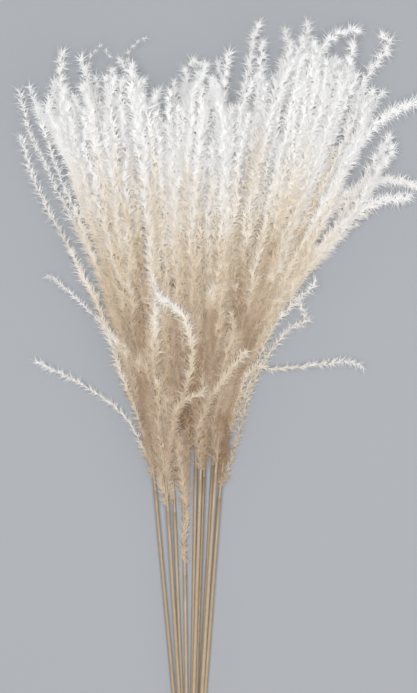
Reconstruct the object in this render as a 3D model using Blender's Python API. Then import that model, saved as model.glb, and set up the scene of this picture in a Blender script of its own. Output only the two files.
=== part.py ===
"""A bundle of dried miscanthus lying down: ten culms, their plumes and the band that holds them.

Metres, +Z up. The cut ends point to -Y and the plumes to +Y. The bundle rests on z = 0.
"""
import math
import random
from collections import namedtuple

import bmesh
import bpy
import numpy as np
from mathutils import Vector
from mathutils.kdtree import KDTree

MM = 0.001
SEED = 7

# The bundle, seen from above as in the picture: one pixel is 0.82 mm at the plumes.
PIXEL = 0.82 * MM
AXIS_U = 190.0
BAND_V = 808.0
FORK_V = 500.0
FAN_V = 80.0
LONE_FOOT_V = 515.0
CUT_BELOW_BAND = 107.0 * MM
CUT_STAGGER = 5.0 * MM
CUT_SPLAY = 0.9
GOLDEN_TURN = math.pi * (3.0 - math.sqrt(5.0))

# How the bundle lies: its axis climbs from the cut ends to the middle of the plumes.
BAND_HEIGHT = 13.5 * MM
CLIMB = 0.075
LAYER_STEP = 3.4 * MM
LAYER_SPREAD = 0.045
COLUMN_STEP = 1.95 * MM

CULM_CUT_RADIUS = 1.75 * MM
CULM_TOP_RADIUS = 1.45 * MM
CULM_JOINT_RADIUS = 2.0 * MM
CULM_JOINT_ABOVE_CUT = 62.0 * MM
CULM_JOINT_HALF = 2.5 * MM
CULM_SIDES = 6

AXIS_BASE_RADIUS = 1.5 * MM
AXIS_END_RADIUS = 1.0 * MM
AXIS_SIDES = 4
AXIS_RING_STEP = 28.0 * MM
AXIS_REACH = 0.5
LEAN_FROM = 0.45
GAP = 0.3 * MM
MERGE = 0.001 * MM
NECK_BEND = 4.0 * MM

# A raceme is a thin stalk with a three-pointed tuft of hair at each step.
RACEME_LENGTH = 208.0 * MM
TUFT_STEP = 24.0 * MM
TUFT_RADIUS = 4.7 * MM
TUFT_FLARE = 0.82
STALK_RADIUS = 1.0 * MM
TIP_RADIUS = 0.6 * MM
BARE_STALK = 13.0 * MM
ROOT_SWELL = 55.0 * MM
TIP_TAPER = 30.0 * MM
ROOT_TUFT = 0.55
TIP_TUFT = 0.6
LEAVE_SLOPE = 0.34
KNEE = 0.42
RACEMES_PER_PLUME = 9
LENGTH_SPREAD = (0.9, 1.15)
ROOT_MARGIN = 12.0
FOOT_MARGIN = 14.0
FOOT_STEP = 6.0
FAN_HALF_WIDTH = 50.0
INNER_DROP = (15.0, 60.0)
OUTER_DROP = 90.0
FAN_HALF_DEPTH = 17.0 * MM
REST_SINK = 9.0 * MM

# Short racemes that fill the foot of each plume.
LOW_RACEMES = 2
LOW_ROOT = 14.0
LOW_ROOT_STEP = 26.0
LOW_LENGTH = 135.0 * MM
LOW_SPREAD = 13.0 * MM

# How the racemes make room for each other.
SAMPLE_STEP = 6.0 * MM
SETTLE_ROUNDS = 90
CLEARANCE = 0.9 * MM
SAME_PLUME_SHARE = 0.8
ROOT_FREE = 40.0 * MM
FLOOR_CLEAR = 2.8 * MM
ROUTE_GIVE = 0.15
FREE_GIVE = 0.6
LENGTH_GIVE = 0.1
SMOOTHING = 0.3
PAIRS_EVERY = 5
CULM_GUARD_FROM = 0.3

BAND_TURNS = 2
BAND_THICKNESS = 1.3 * MM
BAND_WIDTH = 2.6 * MM
BAND_SEGMENTS = 20
BAND_GROOVE = 0.55

# Each stem: its culm's pixel column at FORK_V, its place in the neck, the pixel row where
# its plume starts, and the pixel column of the middle of its plume at FAN_V.
Stem = namedtuple("Stem", "fork_u column layer base_v fan_u")
STEMS = (
    Stem(155.4, -3, 0, 492, 58),
    Stem(167.0, -2, 1, 512, 112),
    Stem(173.5, -2, -1, 515, 100),
    Stem(183.5, -1, 0, 578, 152),
    Stem(195.0, 0, -1, 462, 204),
    Stem(199.7, 0, 1, 480, 206),
    Stem(203.0, 1, 0, 478, 255),
    Stem(211.0, 2, -1, 468, 300),
    Stem(214.0, 2, 1, 474, 308),
    Stem(219.5, 3, 0, 500, 358),
)

# Racemes that stand out: the plume they grow from, the pixel row of their root, how high
# they lie against the plume's layer in millimetres, and the pixels that they pass.
Route = namedtuple("Route", "stem root_v rise pixels")
ROUTES = (
    Route(0, 455, 2, ((128, 392), (104, 319), (83, 276), (58, 228), (34, 181), (23, 139))),
    Route(0, 420, -6, ((118, 340), (93, 263), (62, 200), (31, 135), (17, 92))),
    Route(0, 380, 8, ((82, 230), (52, 155), (33, 90))),
    Route(0, 412, 12, ((118, 346), (86, 308), (73, 295), (53, 277))),
    Route(0, 466, 4, ((124, 417), (87, 388), (66, 377), (38, 362))),
    Route(1, 306, 6, ((100, 120), (88, 78), (94, 58), (105, 49), (110, 60))),
    Route(1, 470, 34, ((175, 420), (190, 375), (191, 340), (182, 315), (160, 298))),
    Route(1, 486, 26, ((170, 440), (178, 408), (188, 399), (201, 394))),
    Route(3, 306, 4, ((142, 110), (127, 62), (134, 47), (147, 39))),
    Route(3, 572, 5, ((183, 548), (186, 515), (182, 480), (176, 440))),
    Route(4, 290, 2, ((192, 120), (186, 68), (193, 58), (204, 61))),
    Route(5, 474, 34, ((198, 432), (206, 406), (217, 388), (231, 368), (245, 353))),
    Route(8, 310, 2, ((308, 120), (318, 58), (336, 38), (355, 34))),
    Route(9, 320, 4, ((345, 140), (362, 84), (386, 50), (381, 38))),
    Route(9, 492, -8, ((239, 437), (248, 399), (266, 359), (290, 329), (308, 321), (300, 300))),
    Route(9, 440, 8, ((258, 359), (276, 322), (313, 284))),
    Route(9, 425, 14, ((252, 371), (273, 370), (318, 368), (363, 367))),
    Route(9, 345, 12, ((338, 180), (376, 125), (411, 104), (427, 97))),
    Route(9, 400, -4, ((300, 262), (339, 201), (383, 180), (417, 184), (429, 192))),
    Route(9, 370, 5, ((318, 250), (369, 206), (405, 197))),
)

# Tips that can be told apart along the edge of the fan, each with its plume.
TIPS = {
    0: ((57, 56), (72, 90), (40, 108)),
    1: ((85, 64), (120, 84), (138, 100)),
    2: ((96, 86), (66, 120), (129, 58)),
    3: ((152, 92), (170, 96)),
    4: ((222, 61), (176, 80), (206, 92)),
    5: ((196, 74), (214, 84), (184, 96)),
    6: ((243, 87), (253, 24), (230, 57), (262, 44)),
    7: ((269, 62), (294, 26), (309, 22), (330, 250)),
    8: ((330, 62), (356, 51), (345, 80), (316, 268)),
    9: ((374, 92), (392, 150), (370, 208), (351, 232)),
}

# The fan's upper edge, which no other tip passes.
EDGE_U = (16, 57, 103, 150, 188, 240, 253, 309, 355, 382, 410)
EDGE_V = (93, 62, 72, 84, 68, 80, 36, 30, 44, 56, 120)

Strand = namedtuple("Strand", "stem course radius freedom along")


def clear_scene():
    for thing in list(bpy.data.objects):
        bpy.data.objects.remove(thing, do_unlink=True)


def finish(name, colour, roughness):
    """Matt plant finish in one colour."""
    material = bpy.data.materials.new(name)
    material.use_nodes = True
    shader = material.node_tree.nodes["Principled BSDF"]
    shader.inputs["Base Color"].default_value = (*colour, 1.0)
    shader.inputs["Roughness"].default_value = roughness
    shader.inputs["Metallic"].default_value = 0.0
    return material


def flat_place(u, v):
    """Plan position of a pixel; y is the distance above the band."""
    return (u - AXIS_U) * PIXEL, (BAND_V - v) * PIXEL


def bundle_height(y):
    return BAND_HEIGHT + CLIMB * y


def layer_height(layer, y):
    return bundle_height(y) + layer * (LAYER_STEP + LAYER_SPREAD * max(y, 0.0))


def culm_point(stem, y):
    """Centre of a culm: straight above the band, gathered below it."""
    neck_x = stem.column * COLUMN_STEP
    fork_x, fork_y = flat_place(stem.fork_u, FORK_V)
    fan_out = max(y, 0.0) / fork_y
    splay = 1.0 + CUT_SPLAY * max(-y, 0.0)
    x = neck_x * splay + (fork_x - neck_x) * fan_out
    return np.array((x, y, layer_height(stem.layer, y)))


def along_curve(points, step):
    """Smooth curve through a few points, read at equal steps of about one step length."""
    knots = np.array(points, dtype=float)
    padded = np.vstack((2 * knots[0] - knots[1], knots, 2 * knots[-1] - knots[-2]))
    share = np.linspace(0.0, 1.0, 16, endpoint=False)[:, None]
    pieces = []
    for a, b, c, d in zip(padded, padded[1:], padded[2:], padded[3:]):
        bend = (2 * a - 5 * b + 4 * c - d) * share**2 + (3 * b - a - 3 * c + d) * share**3
        pieces.append(0.5 * (2 * b + (c - a) * share + bend))
    fine = np.vstack(pieces + [knots[-1:]])
    reach = np.concatenate(([0.0], np.cumsum(np.linalg.norm(np.diff(fine, axis=0), axis=1))))
    count = max(3, round(reach[-1] / step) + 1)
    stops = np.linspace(0.0, reach[-1], count)
    return np.column_stack([np.interp(stops, reach, fine[:, k]) for k in range(3)])


def lengths_along(course):
    return np.concatenate(([0.0], np.cumsum(np.linalg.norm(np.diff(course, axis=0), axis=1))))


def read_course(course, distance):
    reach = lengths_along(course)
    return np.array([np.interp(distance, reach, course[:, k]) for k in range(3)])


def body_row(stem):
    """Pixel row where a plume's full body starts, above any lone raceme at its foot."""
    return min(stem.base_v, LONE_FOOT_V)


def axis_end_row(stem):
    return FAN_V + (1.0 - AXIS_REACH) * (body_row(stem) - FAN_V)


def plume_line(stem):
    """Middle of a plume, from its base to FAN_V: it leaves along its culm and leans out."""
    base_y = flat_place(0.0, stem.base_v)[1]
    fan_x, fan_y = flat_place(stem.fan_u, FAN_V)
    base = culm_point(stem, base_y)
    straight = culm_point(stem, base_y + LEAN_FROM * (fan_y - base_y))
    end = np.array((fan_x, fan_y, layer_height(stem.layer, fan_y)))
    share = np.linspace(0.0, 1.0, 9)[:, None]
    curve = base * (1 - share) ** 2 + 2 * straight * share * (1 - share) + end * share**2
    return along_curve(curve, SAMPLE_STEP)


def row_on_line(line, v):
    """Point of a plume's middle line in a pixel row, and the line's direction there."""
    y = flat_place(0.0, v)[1]
    here = np.array([np.interp(y, line[:, 1], line[:, k]) for k in range(3)])
    ahead = np.array([np.interp(y + SAMPLE_STEP, line[:, 1], line[:, k]) for k in range(3)])
    direction = ahead - here
    return here, direction / np.linalg.norm(direction)


def tuft_size(distance, whole):
    """Reach of the tufts: small by the root, full along the raceme, less at the tip."""
    grown = np.clip(ROOT_TUFT + (1.0 - ROOT_TUFT) * distance / ROOT_SWELL, 0.0, 1.0)
    tapered = np.clip(TIP_TUFT + (1.0 - TIP_TUFT) * (whole - distance) / TIP_TAPER, 0.0, 1.0)
    return TUFT_RADIUS * grown * tapered


def raceme_strand(stem_number, course, held):
    """A raceme with how far each of its points may give way sideways and in height."""
    along = lengths_along(course)
    loose = np.clip(along / ROOT_FREE, 0.0, 1.0)
    sideways = ROUTE_GIVE if held else FREE_GIVE
    freedom = np.column_stack((loose * sideways, loose * LENGTH_GIVE, loose))
    return Strand(stem_number, course, tuft_size(along, along[-1]), freedom, along)


def free_course(line, root_v, tip):
    """A raceme that leaves its plume's axis outwards and arches to its tip."""
    root, direction = row_on_line(line, root_v)
    to_tip = tip - root
    outward = to_tip - direction * to_tip.dot(direction)
    outward /= max(np.linalg.norm(outward), 1e-6)
    leave = direction + outward * LEAVE_SLOPE
    knee = root + leave / np.linalg.norm(leave) * KNEE * np.linalg.norm(to_tip)
    share = np.linspace(0.0, 1.0, 7)[:, None]
    curve = root * (1 - share) ** 2 + 2 * knee * share * (1 - share) + tip * share**2
    return along_curve(curve, SAMPLE_STEP)


def routed_course(stem, line, route):
    """A raceme that passes the pixels of its route and rises evenly to its height."""
    root, _ = row_on_line(line, route.root_v)
    flat = [flat_place(u, v) for u, v in route.pixels]
    stops = np.array([root[:2], *flat])
    reach = lengths_along(stops)
    tip_height = layer_height(stem.layer, flat[-1][1]) + route.rise * MM
    heights = root[2] + (tip_height - root[2]) * (reach / reach[-1])
    return along_curve(np.column_stack((stops, heights)), SAMPLE_STEP)


def plan_racemes():
    """Every raceme's course before they make room for each other."""
    chance = random.Random(SEED)
    strands = []
    for number, stem in enumerate(STEMS):
        line = plume_line(stem)
        own = [route for route in ROUTES if route.stem == number]
        for route in own:
            strands.append(raceme_strand(number, routed_course(stem, line, route), True))
        tips = list(TIPS[number])
        fill = RACEMES_PER_PLUME - len(own) - len(tips)
        for k in range(max(fill, 0)):
            turn = GOLDEN_TURN * (k + 1)
            ring = math.sqrt((k + 0.6) / RACEMES_PER_PLUME)
            u = stem.fan_u + FAN_HALF_WIDTH * ring * math.cos(turn)
            inward = chance.uniform(*INNER_DROP) + OUTER_DROP * ring
            tips.append((u, np.interp(u, EDGE_U, EDGE_V) + inward))
        for k, (u, v) in enumerate(tips):
            x, y = flat_place(u, v)
            swing = math.sin(GOLDEN_TURN * (k + 1) + number)
            sink = REST_SINK * min(stem.layer, 0)
            height = layer_height(stem.layer, y) + FAN_HALF_DEPTH * swing + sink
            root_v = v + RACEME_LENGTH / PIXEL * chance.uniform(*LENGTH_SPREAD)
            lowest = stem.base_v - FOOT_MARGIN - FOOT_STEP * k
            root_v = min(max(root_v, axis_end_row(stem) + ROOT_MARGIN), lowest)
            course = free_course(line, root_v, np.array((x, y, height)))
            strands.append(raceme_strand(number, course, False))
        for k in range(LOW_RACEMES):
            root_v = body_row(stem) - LOW_ROOT - k * LOW_ROOT_STEP
            turn = GOLDEN_TURN * (k + 1) + number
            beside = LOW_SPREAD * np.array((math.cos(turn), 0.0, math.sin(turn)))
            tip = row_on_line(line, root_v - LOW_LENGTH / PIXEL)[0] + beside
            strands.append(raceme_strand(number, free_course(line, root_v, tip), False))
    return strands


def fixed_strand(number, course, radius):
    still = np.zeros((len(course), 3))
    return Strand(number, course, np.full(len(course), radius), still, lengths_along(course))


def axis_course(stem):
    """The part of the plume's middle line that its axis follows."""
    line = plume_line(stem)
    end_y = flat_place(0.0, axis_end_row(stem))[1]
    return line[line[:, 1] <= end_y]


def near_pairs(points, owners, reach):
    tree = KDTree(len(points))
    for index, point in enumerate(points):
        tree.insert(point, index)
    tree.balance()
    pairs = [
        (index, other)
        for index, point in enumerate(points)
        for _, other, _ in tree.find_range(point, reach)
        if other > index and owners[other] != owners[index]
    ]
    return np.array(pairs)


def settle(strands):
    """Move racemes apart until their tufts are clear, keeping each course smooth."""
    start = np.vstack([strand.course for strand in strands])
    owners = np.concatenate([np.full(len(s.course), k) for k, s in enumerate(strands)])
    plumes = np.concatenate([np.full(len(s.course), s.stem) for s in strands])
    radius = np.concatenate([strand.radius for strand in strands])
    freedom = np.vstack([strand.freedom for strand in strands])
    along = np.concatenate([strand.along for strand in strands])
    inner = (owners[1:-1] == owners[:-2]) & (owners[1:-1] == owners[2:])
    shift = np.zeros_like(start)
    for turn in range(SETTLE_ROUNDS):
        points = start + shift
        if turn % PAIRS_EVERY == 0:
            pairs = near_pairs(points, owners, 2.0 * TUFT_RADIUS + 3.0 * CLEARANCE)
            first, second = pairs[:, 0], pairs[:, 1]
            same = plumes[first] == plumes[second]
            rooted = np.clip(np.minimum(along[first], along[second]) / ROOT_FREE, 0.0, 1.0)
            share = np.where(same, SAME_PLUME_SHARE * rooted, 1.0)
            need = share * (radius[first] + radius[second] + CLEARANCE)
        between = points[first] - points[second]
        apart = np.maximum(np.linalg.norm(between, axis=1), 1e-6)
        push = between * (np.clip(need - apart, 0.0, None) * 0.5 / apart)[:, None]
        move = np.zeros_like(start)
        np.add.at(move, first, push)
        np.add.at(move, second, -push)
        shift += move * freedom
        middle = 0.5 * (shift[:-2] + shift[2:]) - shift[1:-1]
        shift[1:-1] += np.where(inner[:, None], SMOOTHING * middle, 0.0) * (freedom[1:-1] > 0)
        low = np.maximum(FLOOR_CLEAR - (start + shift)[:, 2], 0.0)
        shift[:, 2] += low * (freedom[:, 2] > 0)
    points = start + shift
    radius = press_tufts(points, owners, plumes, radius)
    ends = np.cumsum([len(strand.course) for strand in strands])[:-1]
    parts = zip(strands, np.split(points, ends), np.split(radius, ends))
    return [s._replace(course=course, radius=size) for s, course, size in parts]


def press_tufts(points, owners, plumes, radius):
    """Tuft reach where a neighbour from another plume still stands too near."""
    pairs = near_pairs(points, owners, 2.0 * TUFT_RADIUS + CLEARANCE)
    pairs = pairs[plumes[pairs[:, 0]] != plumes[pairs[:, 1]]]
    first, second = pairs[:, 0], pairs[:, 1]
    apart = np.linalg.norm(points[first] - points[second], axis=1)
    share = (apart - CLEARANCE) / (radius[first] + radius[second])
    pressed = radius.copy()
    np.minimum.at(pressed, first, share * radius[first])
    np.minimum.at(pressed, second, share * radius[second])
    return np.maximum(pressed, STALK_RADIUS)


def ring_frames(centres):
    """A side and an up direction for each centre, carried along without twisting."""
    ahead = np.gradient(centres, axis=0)
    ahead /= np.linalg.norm(ahead, axis=1)[:, None]
    side = np.cross(ahead[0], (0.13, 0.21, 1.0))
    frames = []
    for direction in ahead:
        side = side - direction * side.dot(direction)
        side /= np.linalg.norm(side)
        frames.append((side, np.cross(direction, side)))
    return frames


def tube(centres, radii, turns, sides):
    """Closed tube with one ring for each centre: a grid rolled up and capped at both ends."""
    frames = ring_frames(centres)
    shape = bmesh.new()
    bmesh.ops.create_grid(shape, x_segments=sides, y_segments=len(centres) - 1, size=1.0)
    for index, vert in enumerate(shape.verts):
        ring, corner = divmod(index, sides + 1)
        side, up = frames[ring]
        angle = turns[ring] + math.tau * (corner % sides) / sides
        offset = side * math.cos(angle) + up * math.sin(angle)
        vert.co = Vector(centres[ring] + radii[ring] * offset)
    bmesh.ops.remove_doubles(shape, verts=shape.verts, dist=MERGE)
    ends = [edge for edge in shape.edges if edge.is_boundary]
    bmesh.ops.holes_fill(shape, edges=ends, sides=sides)
    bmesh.ops.recalc_face_normals(shape, faces=shape.faces)
    bmesh.ops.triangulate(shape, faces=shape.faces, quad_method="SHORT_EDGE")
    return shape


def add_object(name, shape, material=None):
    mesh = bpy.data.meshes.new(name)
    shape.to_mesh(mesh)
    shape.free()
    thing = bpy.data.objects.new(name, mesh)
    bpy.context.collection.objects.link(thing)
    if material:
        mesh.materials.append(material)
    return thing


def raceme_shape(strand, chance):
    """Stalk with tufts that widen upwards; each tuft's points lie between the last one's."""
    along = lengths_along(strand.course)
    whole = along[-1]
    tufts = max(2, round((whole - BARE_STALK) / TUFT_STEP))
    step = (whole - BARE_STALK) / tufts
    first_turn = chance.uniform(0.0, math.tau)
    stops, radii, turns = [0.0], [STALK_RADIUS], [first_turn]
    for k in range(tufts):
        rim = BARE_STALK + (k + TUFT_FLARE) * step
        turn = first_turn + k * math.pi / 3.0
        stops += [BARE_STALK + k * step, rim]
        radii += [STALK_RADIUS, np.interp(rim, along, strand.radius)]
        turns += [turn, turn]
    stops.append(whole)
    radii.append(TIP_RADIUS)
    turns.append(turns[-1])
    centres = np.array([read_course(strand.course, stop) for stop in stops])
    shape = tube(centres, radii, turns, 3)
    for vert in shape.verts:
        vert.co.z = max(vert.co.z, 0.0)
    return shape


def axis_shape(stem):
    """A plume's own axis, cut flat just above its culm."""
    course = axis_course(stem)
    along = lengths_along(course)
    stops = np.linspace(GAP, along[-1], round(along[-1] / AXIS_RING_STEP) + 1)
    centres = np.array([read_course(course, stop) for stop in stops])
    radii = np.linspace(AXIS_BASE_RADIUS, AXIS_END_RADIUS, len(stops))
    return tube(centres, radii, np.zeros(len(stops)), AXIS_SIDES)


def fuse(thing, pieces):
    """Join the pieces to the object with one Boolean union and remove them."""
    group = bpy.data.collections.new(thing.name + "_racemes")
    bpy.context.scene.collection.children.link(group)
    for piece in pieces:
        bpy.context.collection.objects.unlink(piece)
        group.objects.link(piece)
    union = thing.modifiers.new("union", "BOOLEAN")
    union.operation = "UNION"
    union.operand_type = "COLLECTION"
    union.collection = group
    union.solver = "MANIFOLD"
    graph = bpy.context.evaluated_depsgraph_get()
    whole = bpy.data.meshes.new_from_object(thing.evaluated_get(graph))
    thing.modifiers.clear()
    thing.data = whole
    for piece in pieces:
        bpy.data.objects.remove(piece, do_unlink=True)
    bpy.data.collections.remove(group)


def make_plume(number, stem, strands, chance, material):
    name = f"plume_{number + 1:02d}"
    plume = add_object(name, axis_shape(stem), material)
    racemes = [
        add_object(f"{name}_raceme_{k}", raceme_shape(strand, chance), material)
        for k, strand in enumerate(strands)
    ]
    fuse(plume, racemes)
    return plume


def make_culm(number, stem, material):
    """Culm from its cut end, with one joint near the cut, to the base of its plume."""
    cut = -CUT_BELOW_BAND + CUT_STAGGER * math.sin(2.4 * number)
    joint = cut + CULM_JOINT_ABOVE_CUT
    base_y = flat_place(0.0, stem.base_v)[1]
    rings = (
        (cut, CULM_CUT_RADIUS),
        (joint - CULM_JOINT_HALF, CULM_CUT_RADIUS),
        (joint, CULM_JOINT_RADIUS),
        (joint + CULM_JOINT_HALF, CULM_CUT_RADIUS),
        (-NECK_BEND, CULM_CUT_RADIUS),
        (NECK_BEND, CULM_CUT_RADIUS),
        (base_y, CULM_TOP_RADIUS),
    )
    centres = np.array([culm_point(stem, y) for y, _ in rings])
    radii = [radius for _, radius in rings]
    shape = tube(centres, radii, [math.pi / 6.0] * len(rings), CULM_SIDES)
    return add_object(f"culm_{number + 1:02d}", shape, material)


def band_path(angle, reach):
    """Where a loop that hugs the culms at the given reach has its outward direction."""
    outward = np.array((math.cos(angle), 0.0, math.sin(angle)))
    half = 0.5 * BAND_TURNS * BAND_WIDTH
    necks = [culm_point(stem, y) for stem in STEMS for y in (-half, half)]
    farthest = max(necks, key=lambda neck: neck.dot(outward))
    return farthest + reach * outward


def make_band(material):
    """Elastic band wound round the culms, its turns side by side."""
    inner = CULM_CUT_RADIUS + GAP
    half = 0.5 * BAND_TURNS * BAND_WIDTH
    profile = [(inner, -half), (inner, half)]
    for turn in range(BAND_TURNS):
        edge = half - turn * BAND_WIDTH
        profile.append((inner + BAND_GROOVE * BAND_THICKNESS, edge))
        profile.append((inner + BAND_THICKNESS, edge - 0.5 * BAND_WIDTH))
    profile.append((inner + BAND_GROOVE * BAND_THICKNESS, -half))
    shape = bmesh.new()
    bmesh.ops.create_grid(shape, x_segments=len(profile), y_segments=BAND_SEGMENTS, size=1.0)
    for index, vert in enumerate(shape.verts):
        place, corner = divmod(index, len(profile) + 1)
        reach, y = profile[corner % len(profile)]
        point = band_path(math.tau * (place % BAND_SEGMENTS) / BAND_SEGMENTS, reach)
        vert.co = Vector((point[0], y, point[2]))
    bmesh.ops.remove_doubles(shape, verts=shape.verts, dist=MERGE)
    bmesh.ops.recalc_face_normals(shape, faces=shape.faces)
    bmesh.ops.triangulate(shape, faces=shape.faces, quad_method="SHORT_EDGE")
    return add_object("band", shape, material)


def centre_on_floor(things):
    """Put the middle of the bundle's box over the origin, with its lowest point at z = 0."""
    corners = np.array([thing.matrix_world @ v.co for thing in things for v in thing.data.vertices])
    low, high = corners.min(axis=0), corners.max(axis=0)
    shift = Vector((-0.5 * (low[0] + high[0]), -0.5 * (low[1] + high[1]), -low[2]))
    for thing in things:
        thing.location = shift


def keep_clear_of():
    """Axes and culms, which stay where they are while the racemes make room."""
    axes = [
        fixed_strand(number, axis_course(stem), AXIS_BASE_RADIUS)
        for number, stem in enumerate(STEMS)
    ]
    culms = []
    for number, stem in enumerate(STEMS):
        top = flat_place(0.0, stem.base_v)[1]
        ys = np.arange(CULM_GUARD_FROM * top, top, SAMPLE_STEP)
        course = np.array([culm_point(stem, y) for y in ys])
        culms.append(fixed_strand(number, course, CULM_TOP_RADIUS))
    return axes + culms


def main():
    clear_scene()
    straw = finish("dried culm", (0.56, 0.42, 0.25), 0.55)
    fluff = finish("bleached plume hair", (0.84, 0.78, 0.68), 0.9)
    rubber = finish("natural rubber", (0.62, 0.40, 0.20), 0.5)
    fixed = keep_clear_of()
    racemes = settle(plan_racemes() + fixed)[: -len(fixed)]
    chance = random.Random(SEED + 1)
    things = []
    for number, stem in enumerate(STEMS):
        own = [strand for strand in racemes if strand.stem == number]
        things.append(make_plume(number, stem, own, chance, fluff))
        things.append(make_culm(number, stem, straw))
    things.append(make_band(rubber))
    centre_on_floor(things)


main()
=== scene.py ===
# %% [markdown]
# # A bundle of dried miscanthus
#
# Miscanthus is a tall grass. Each stem is one straw culm that carries one plume, and a plume
# is a spray of thin finger-like branches called racemes. Every few millimetres a raceme
# carries a spikelet, a grain-like scale in a ring of silky hairs. Bleaching turns the hairs
# white and leaves the stalks straw coloured.
#
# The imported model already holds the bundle's true form: ten culms, ten plumes with their
# main racemes, and the band. This lesson dresses that model. It finds the racemes' courses
# again with the same seeded rule, adds the racemes between them, and hangs real spikelets
# and hairs on all of them.

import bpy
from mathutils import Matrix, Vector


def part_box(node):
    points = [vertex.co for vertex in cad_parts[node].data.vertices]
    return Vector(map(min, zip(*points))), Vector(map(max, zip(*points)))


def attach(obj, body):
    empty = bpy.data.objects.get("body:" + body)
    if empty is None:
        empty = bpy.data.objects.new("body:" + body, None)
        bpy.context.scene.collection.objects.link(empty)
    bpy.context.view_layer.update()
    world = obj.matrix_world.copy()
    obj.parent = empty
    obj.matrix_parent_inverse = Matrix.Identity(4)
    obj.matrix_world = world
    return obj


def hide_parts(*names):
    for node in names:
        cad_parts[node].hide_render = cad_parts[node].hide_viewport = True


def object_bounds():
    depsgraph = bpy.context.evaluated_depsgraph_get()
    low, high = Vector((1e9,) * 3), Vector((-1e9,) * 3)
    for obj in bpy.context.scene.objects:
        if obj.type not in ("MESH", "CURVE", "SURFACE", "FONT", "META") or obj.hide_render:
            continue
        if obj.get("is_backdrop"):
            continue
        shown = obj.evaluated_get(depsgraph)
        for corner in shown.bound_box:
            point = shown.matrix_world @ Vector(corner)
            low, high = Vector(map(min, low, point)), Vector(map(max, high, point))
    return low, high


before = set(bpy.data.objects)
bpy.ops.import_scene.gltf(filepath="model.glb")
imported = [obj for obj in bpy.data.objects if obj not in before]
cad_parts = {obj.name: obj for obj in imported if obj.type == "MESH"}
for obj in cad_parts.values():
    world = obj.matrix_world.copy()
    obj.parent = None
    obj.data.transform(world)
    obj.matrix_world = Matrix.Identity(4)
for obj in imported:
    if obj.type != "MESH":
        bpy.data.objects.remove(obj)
cad_bounds = [list(corner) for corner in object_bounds()]

# %% Tools for the rest of the lesson
import math
import random
import time
from collections import namedtuple

import bmesh
import bpy
import numpy as np
from mathutils import Matrix
from mathutils import Vector
from mathutils.kdtree import KDTree

MM = 0.001
BODY = "root"
START = time.perf_counter()

# %% [markdown]
# ## The bundle's plan
#
# The bundle is planned on the picture it was drawn from. One pixel is 0.82 mm at the plumes,
# so a pixel column gives a place to the right, and a pixel row gives a distance above the
# band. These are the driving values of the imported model, and everything that is random in
# them is seeded, so the courses below are those of its solids. A value whose name ends in U
# is a column and one whose name ends in V is a row, both in pixels.

# %% Driving values of the stems
# First the rows where the band, the fork of the culms and the fan's head lie, then the culms
# below the band, the layers and columns that the stems lie in, and the plumes' axes.
SEED = 7
PIXEL = 0.82 * MM
AXIS_U = 190.0
BAND_V = 808.0
FORK_V = 500.0
FAN_V = 80.0
LONE_FOOT_V = 515.0
CUT_BELOW_BAND = 107.0 * MM
CUT_STAGGER = 5.0 * MM
CUT_SPLAY = 0.9
GOLDEN_TURN = math.pi * (3.0 - math.sqrt(5.0))
BAND_HEIGHT = 13.5 * MM
CLIMB = 0.075
LAYER_STEP = 3.4 * MM
LAYER_SPREAD = 0.045
COLUMN_STEP = 1.95 * MM
AXIS_BASE_RADIUS = 1.5 * MM
AXIS_REACH = 0.5
LEAN_FROM = 0.45
GAP = 0.3 * MM

# %% Driving values of the racemes
# First the size of a raceme and of its solid tufts, then where a raceme leaves its axis, how
# the tips spread through the fan, and the low racemes round a plume's foot.
RACEME_LENGTH = 208.0 * MM
TUFT_RADIUS = 4.7 * MM
ROOT_SWELL = 55.0 * MM
TIP_TAPER = 30.0 * MM
ROOT_TUFT = 0.55
TIP_TUFT = 0.6
LEAVE_SLOPE = 0.34
KNEE = 0.42
RACEMES_PER_PLUME = 9
LENGTH_SPREAD = (0.9, 1.15)
ROOT_MARGIN = 12.0
FOOT_MARGIN = 14.0
FOOT_STEP = 6.0
FAN_HALF_WIDTH = 50.0
INNER_DROP = (15.0, 60.0)
OUTER_DROP = 90.0
FAN_HALF_DEPTH = 17.0 * MM
REST_SINK = 9.0 * MM
LOW_RACEMES = 2
LOW_ROOT = 14.0
LOW_ROOT_STEP = 26.0
LOW_LENGTH = 135.0 * MM
LOW_SPREAD = 13.0 * MM

# %% The ten stems
# A stem's culm column at FORK_V, its place in the neck, the row where its plume starts and
# the column of its plume's middle at FAN_V.
Stem = namedtuple("Stem", "fork_u column layer base_v fan_u")
STEMS = (
    Stem(155.4, -3, 0, 492, 58),
    Stem(167.0, -2, 1, 512, 112),
    Stem(173.5, -2, -1, 515, 100),
    Stem(183.5, -1, 0, 578, 152),
    Stem(195.0, 0, -1, 462, 204),
    Stem(199.7, 0, 1, 480, 206),
    Stem(203.0, 1, 0, 478, 255),
    Stem(211.0, 2, -1, 468, 300),
    Stem(214.0, 2, 1, 474, 308),
    Stem(219.5, 3, 0, 500, 358),
)

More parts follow.
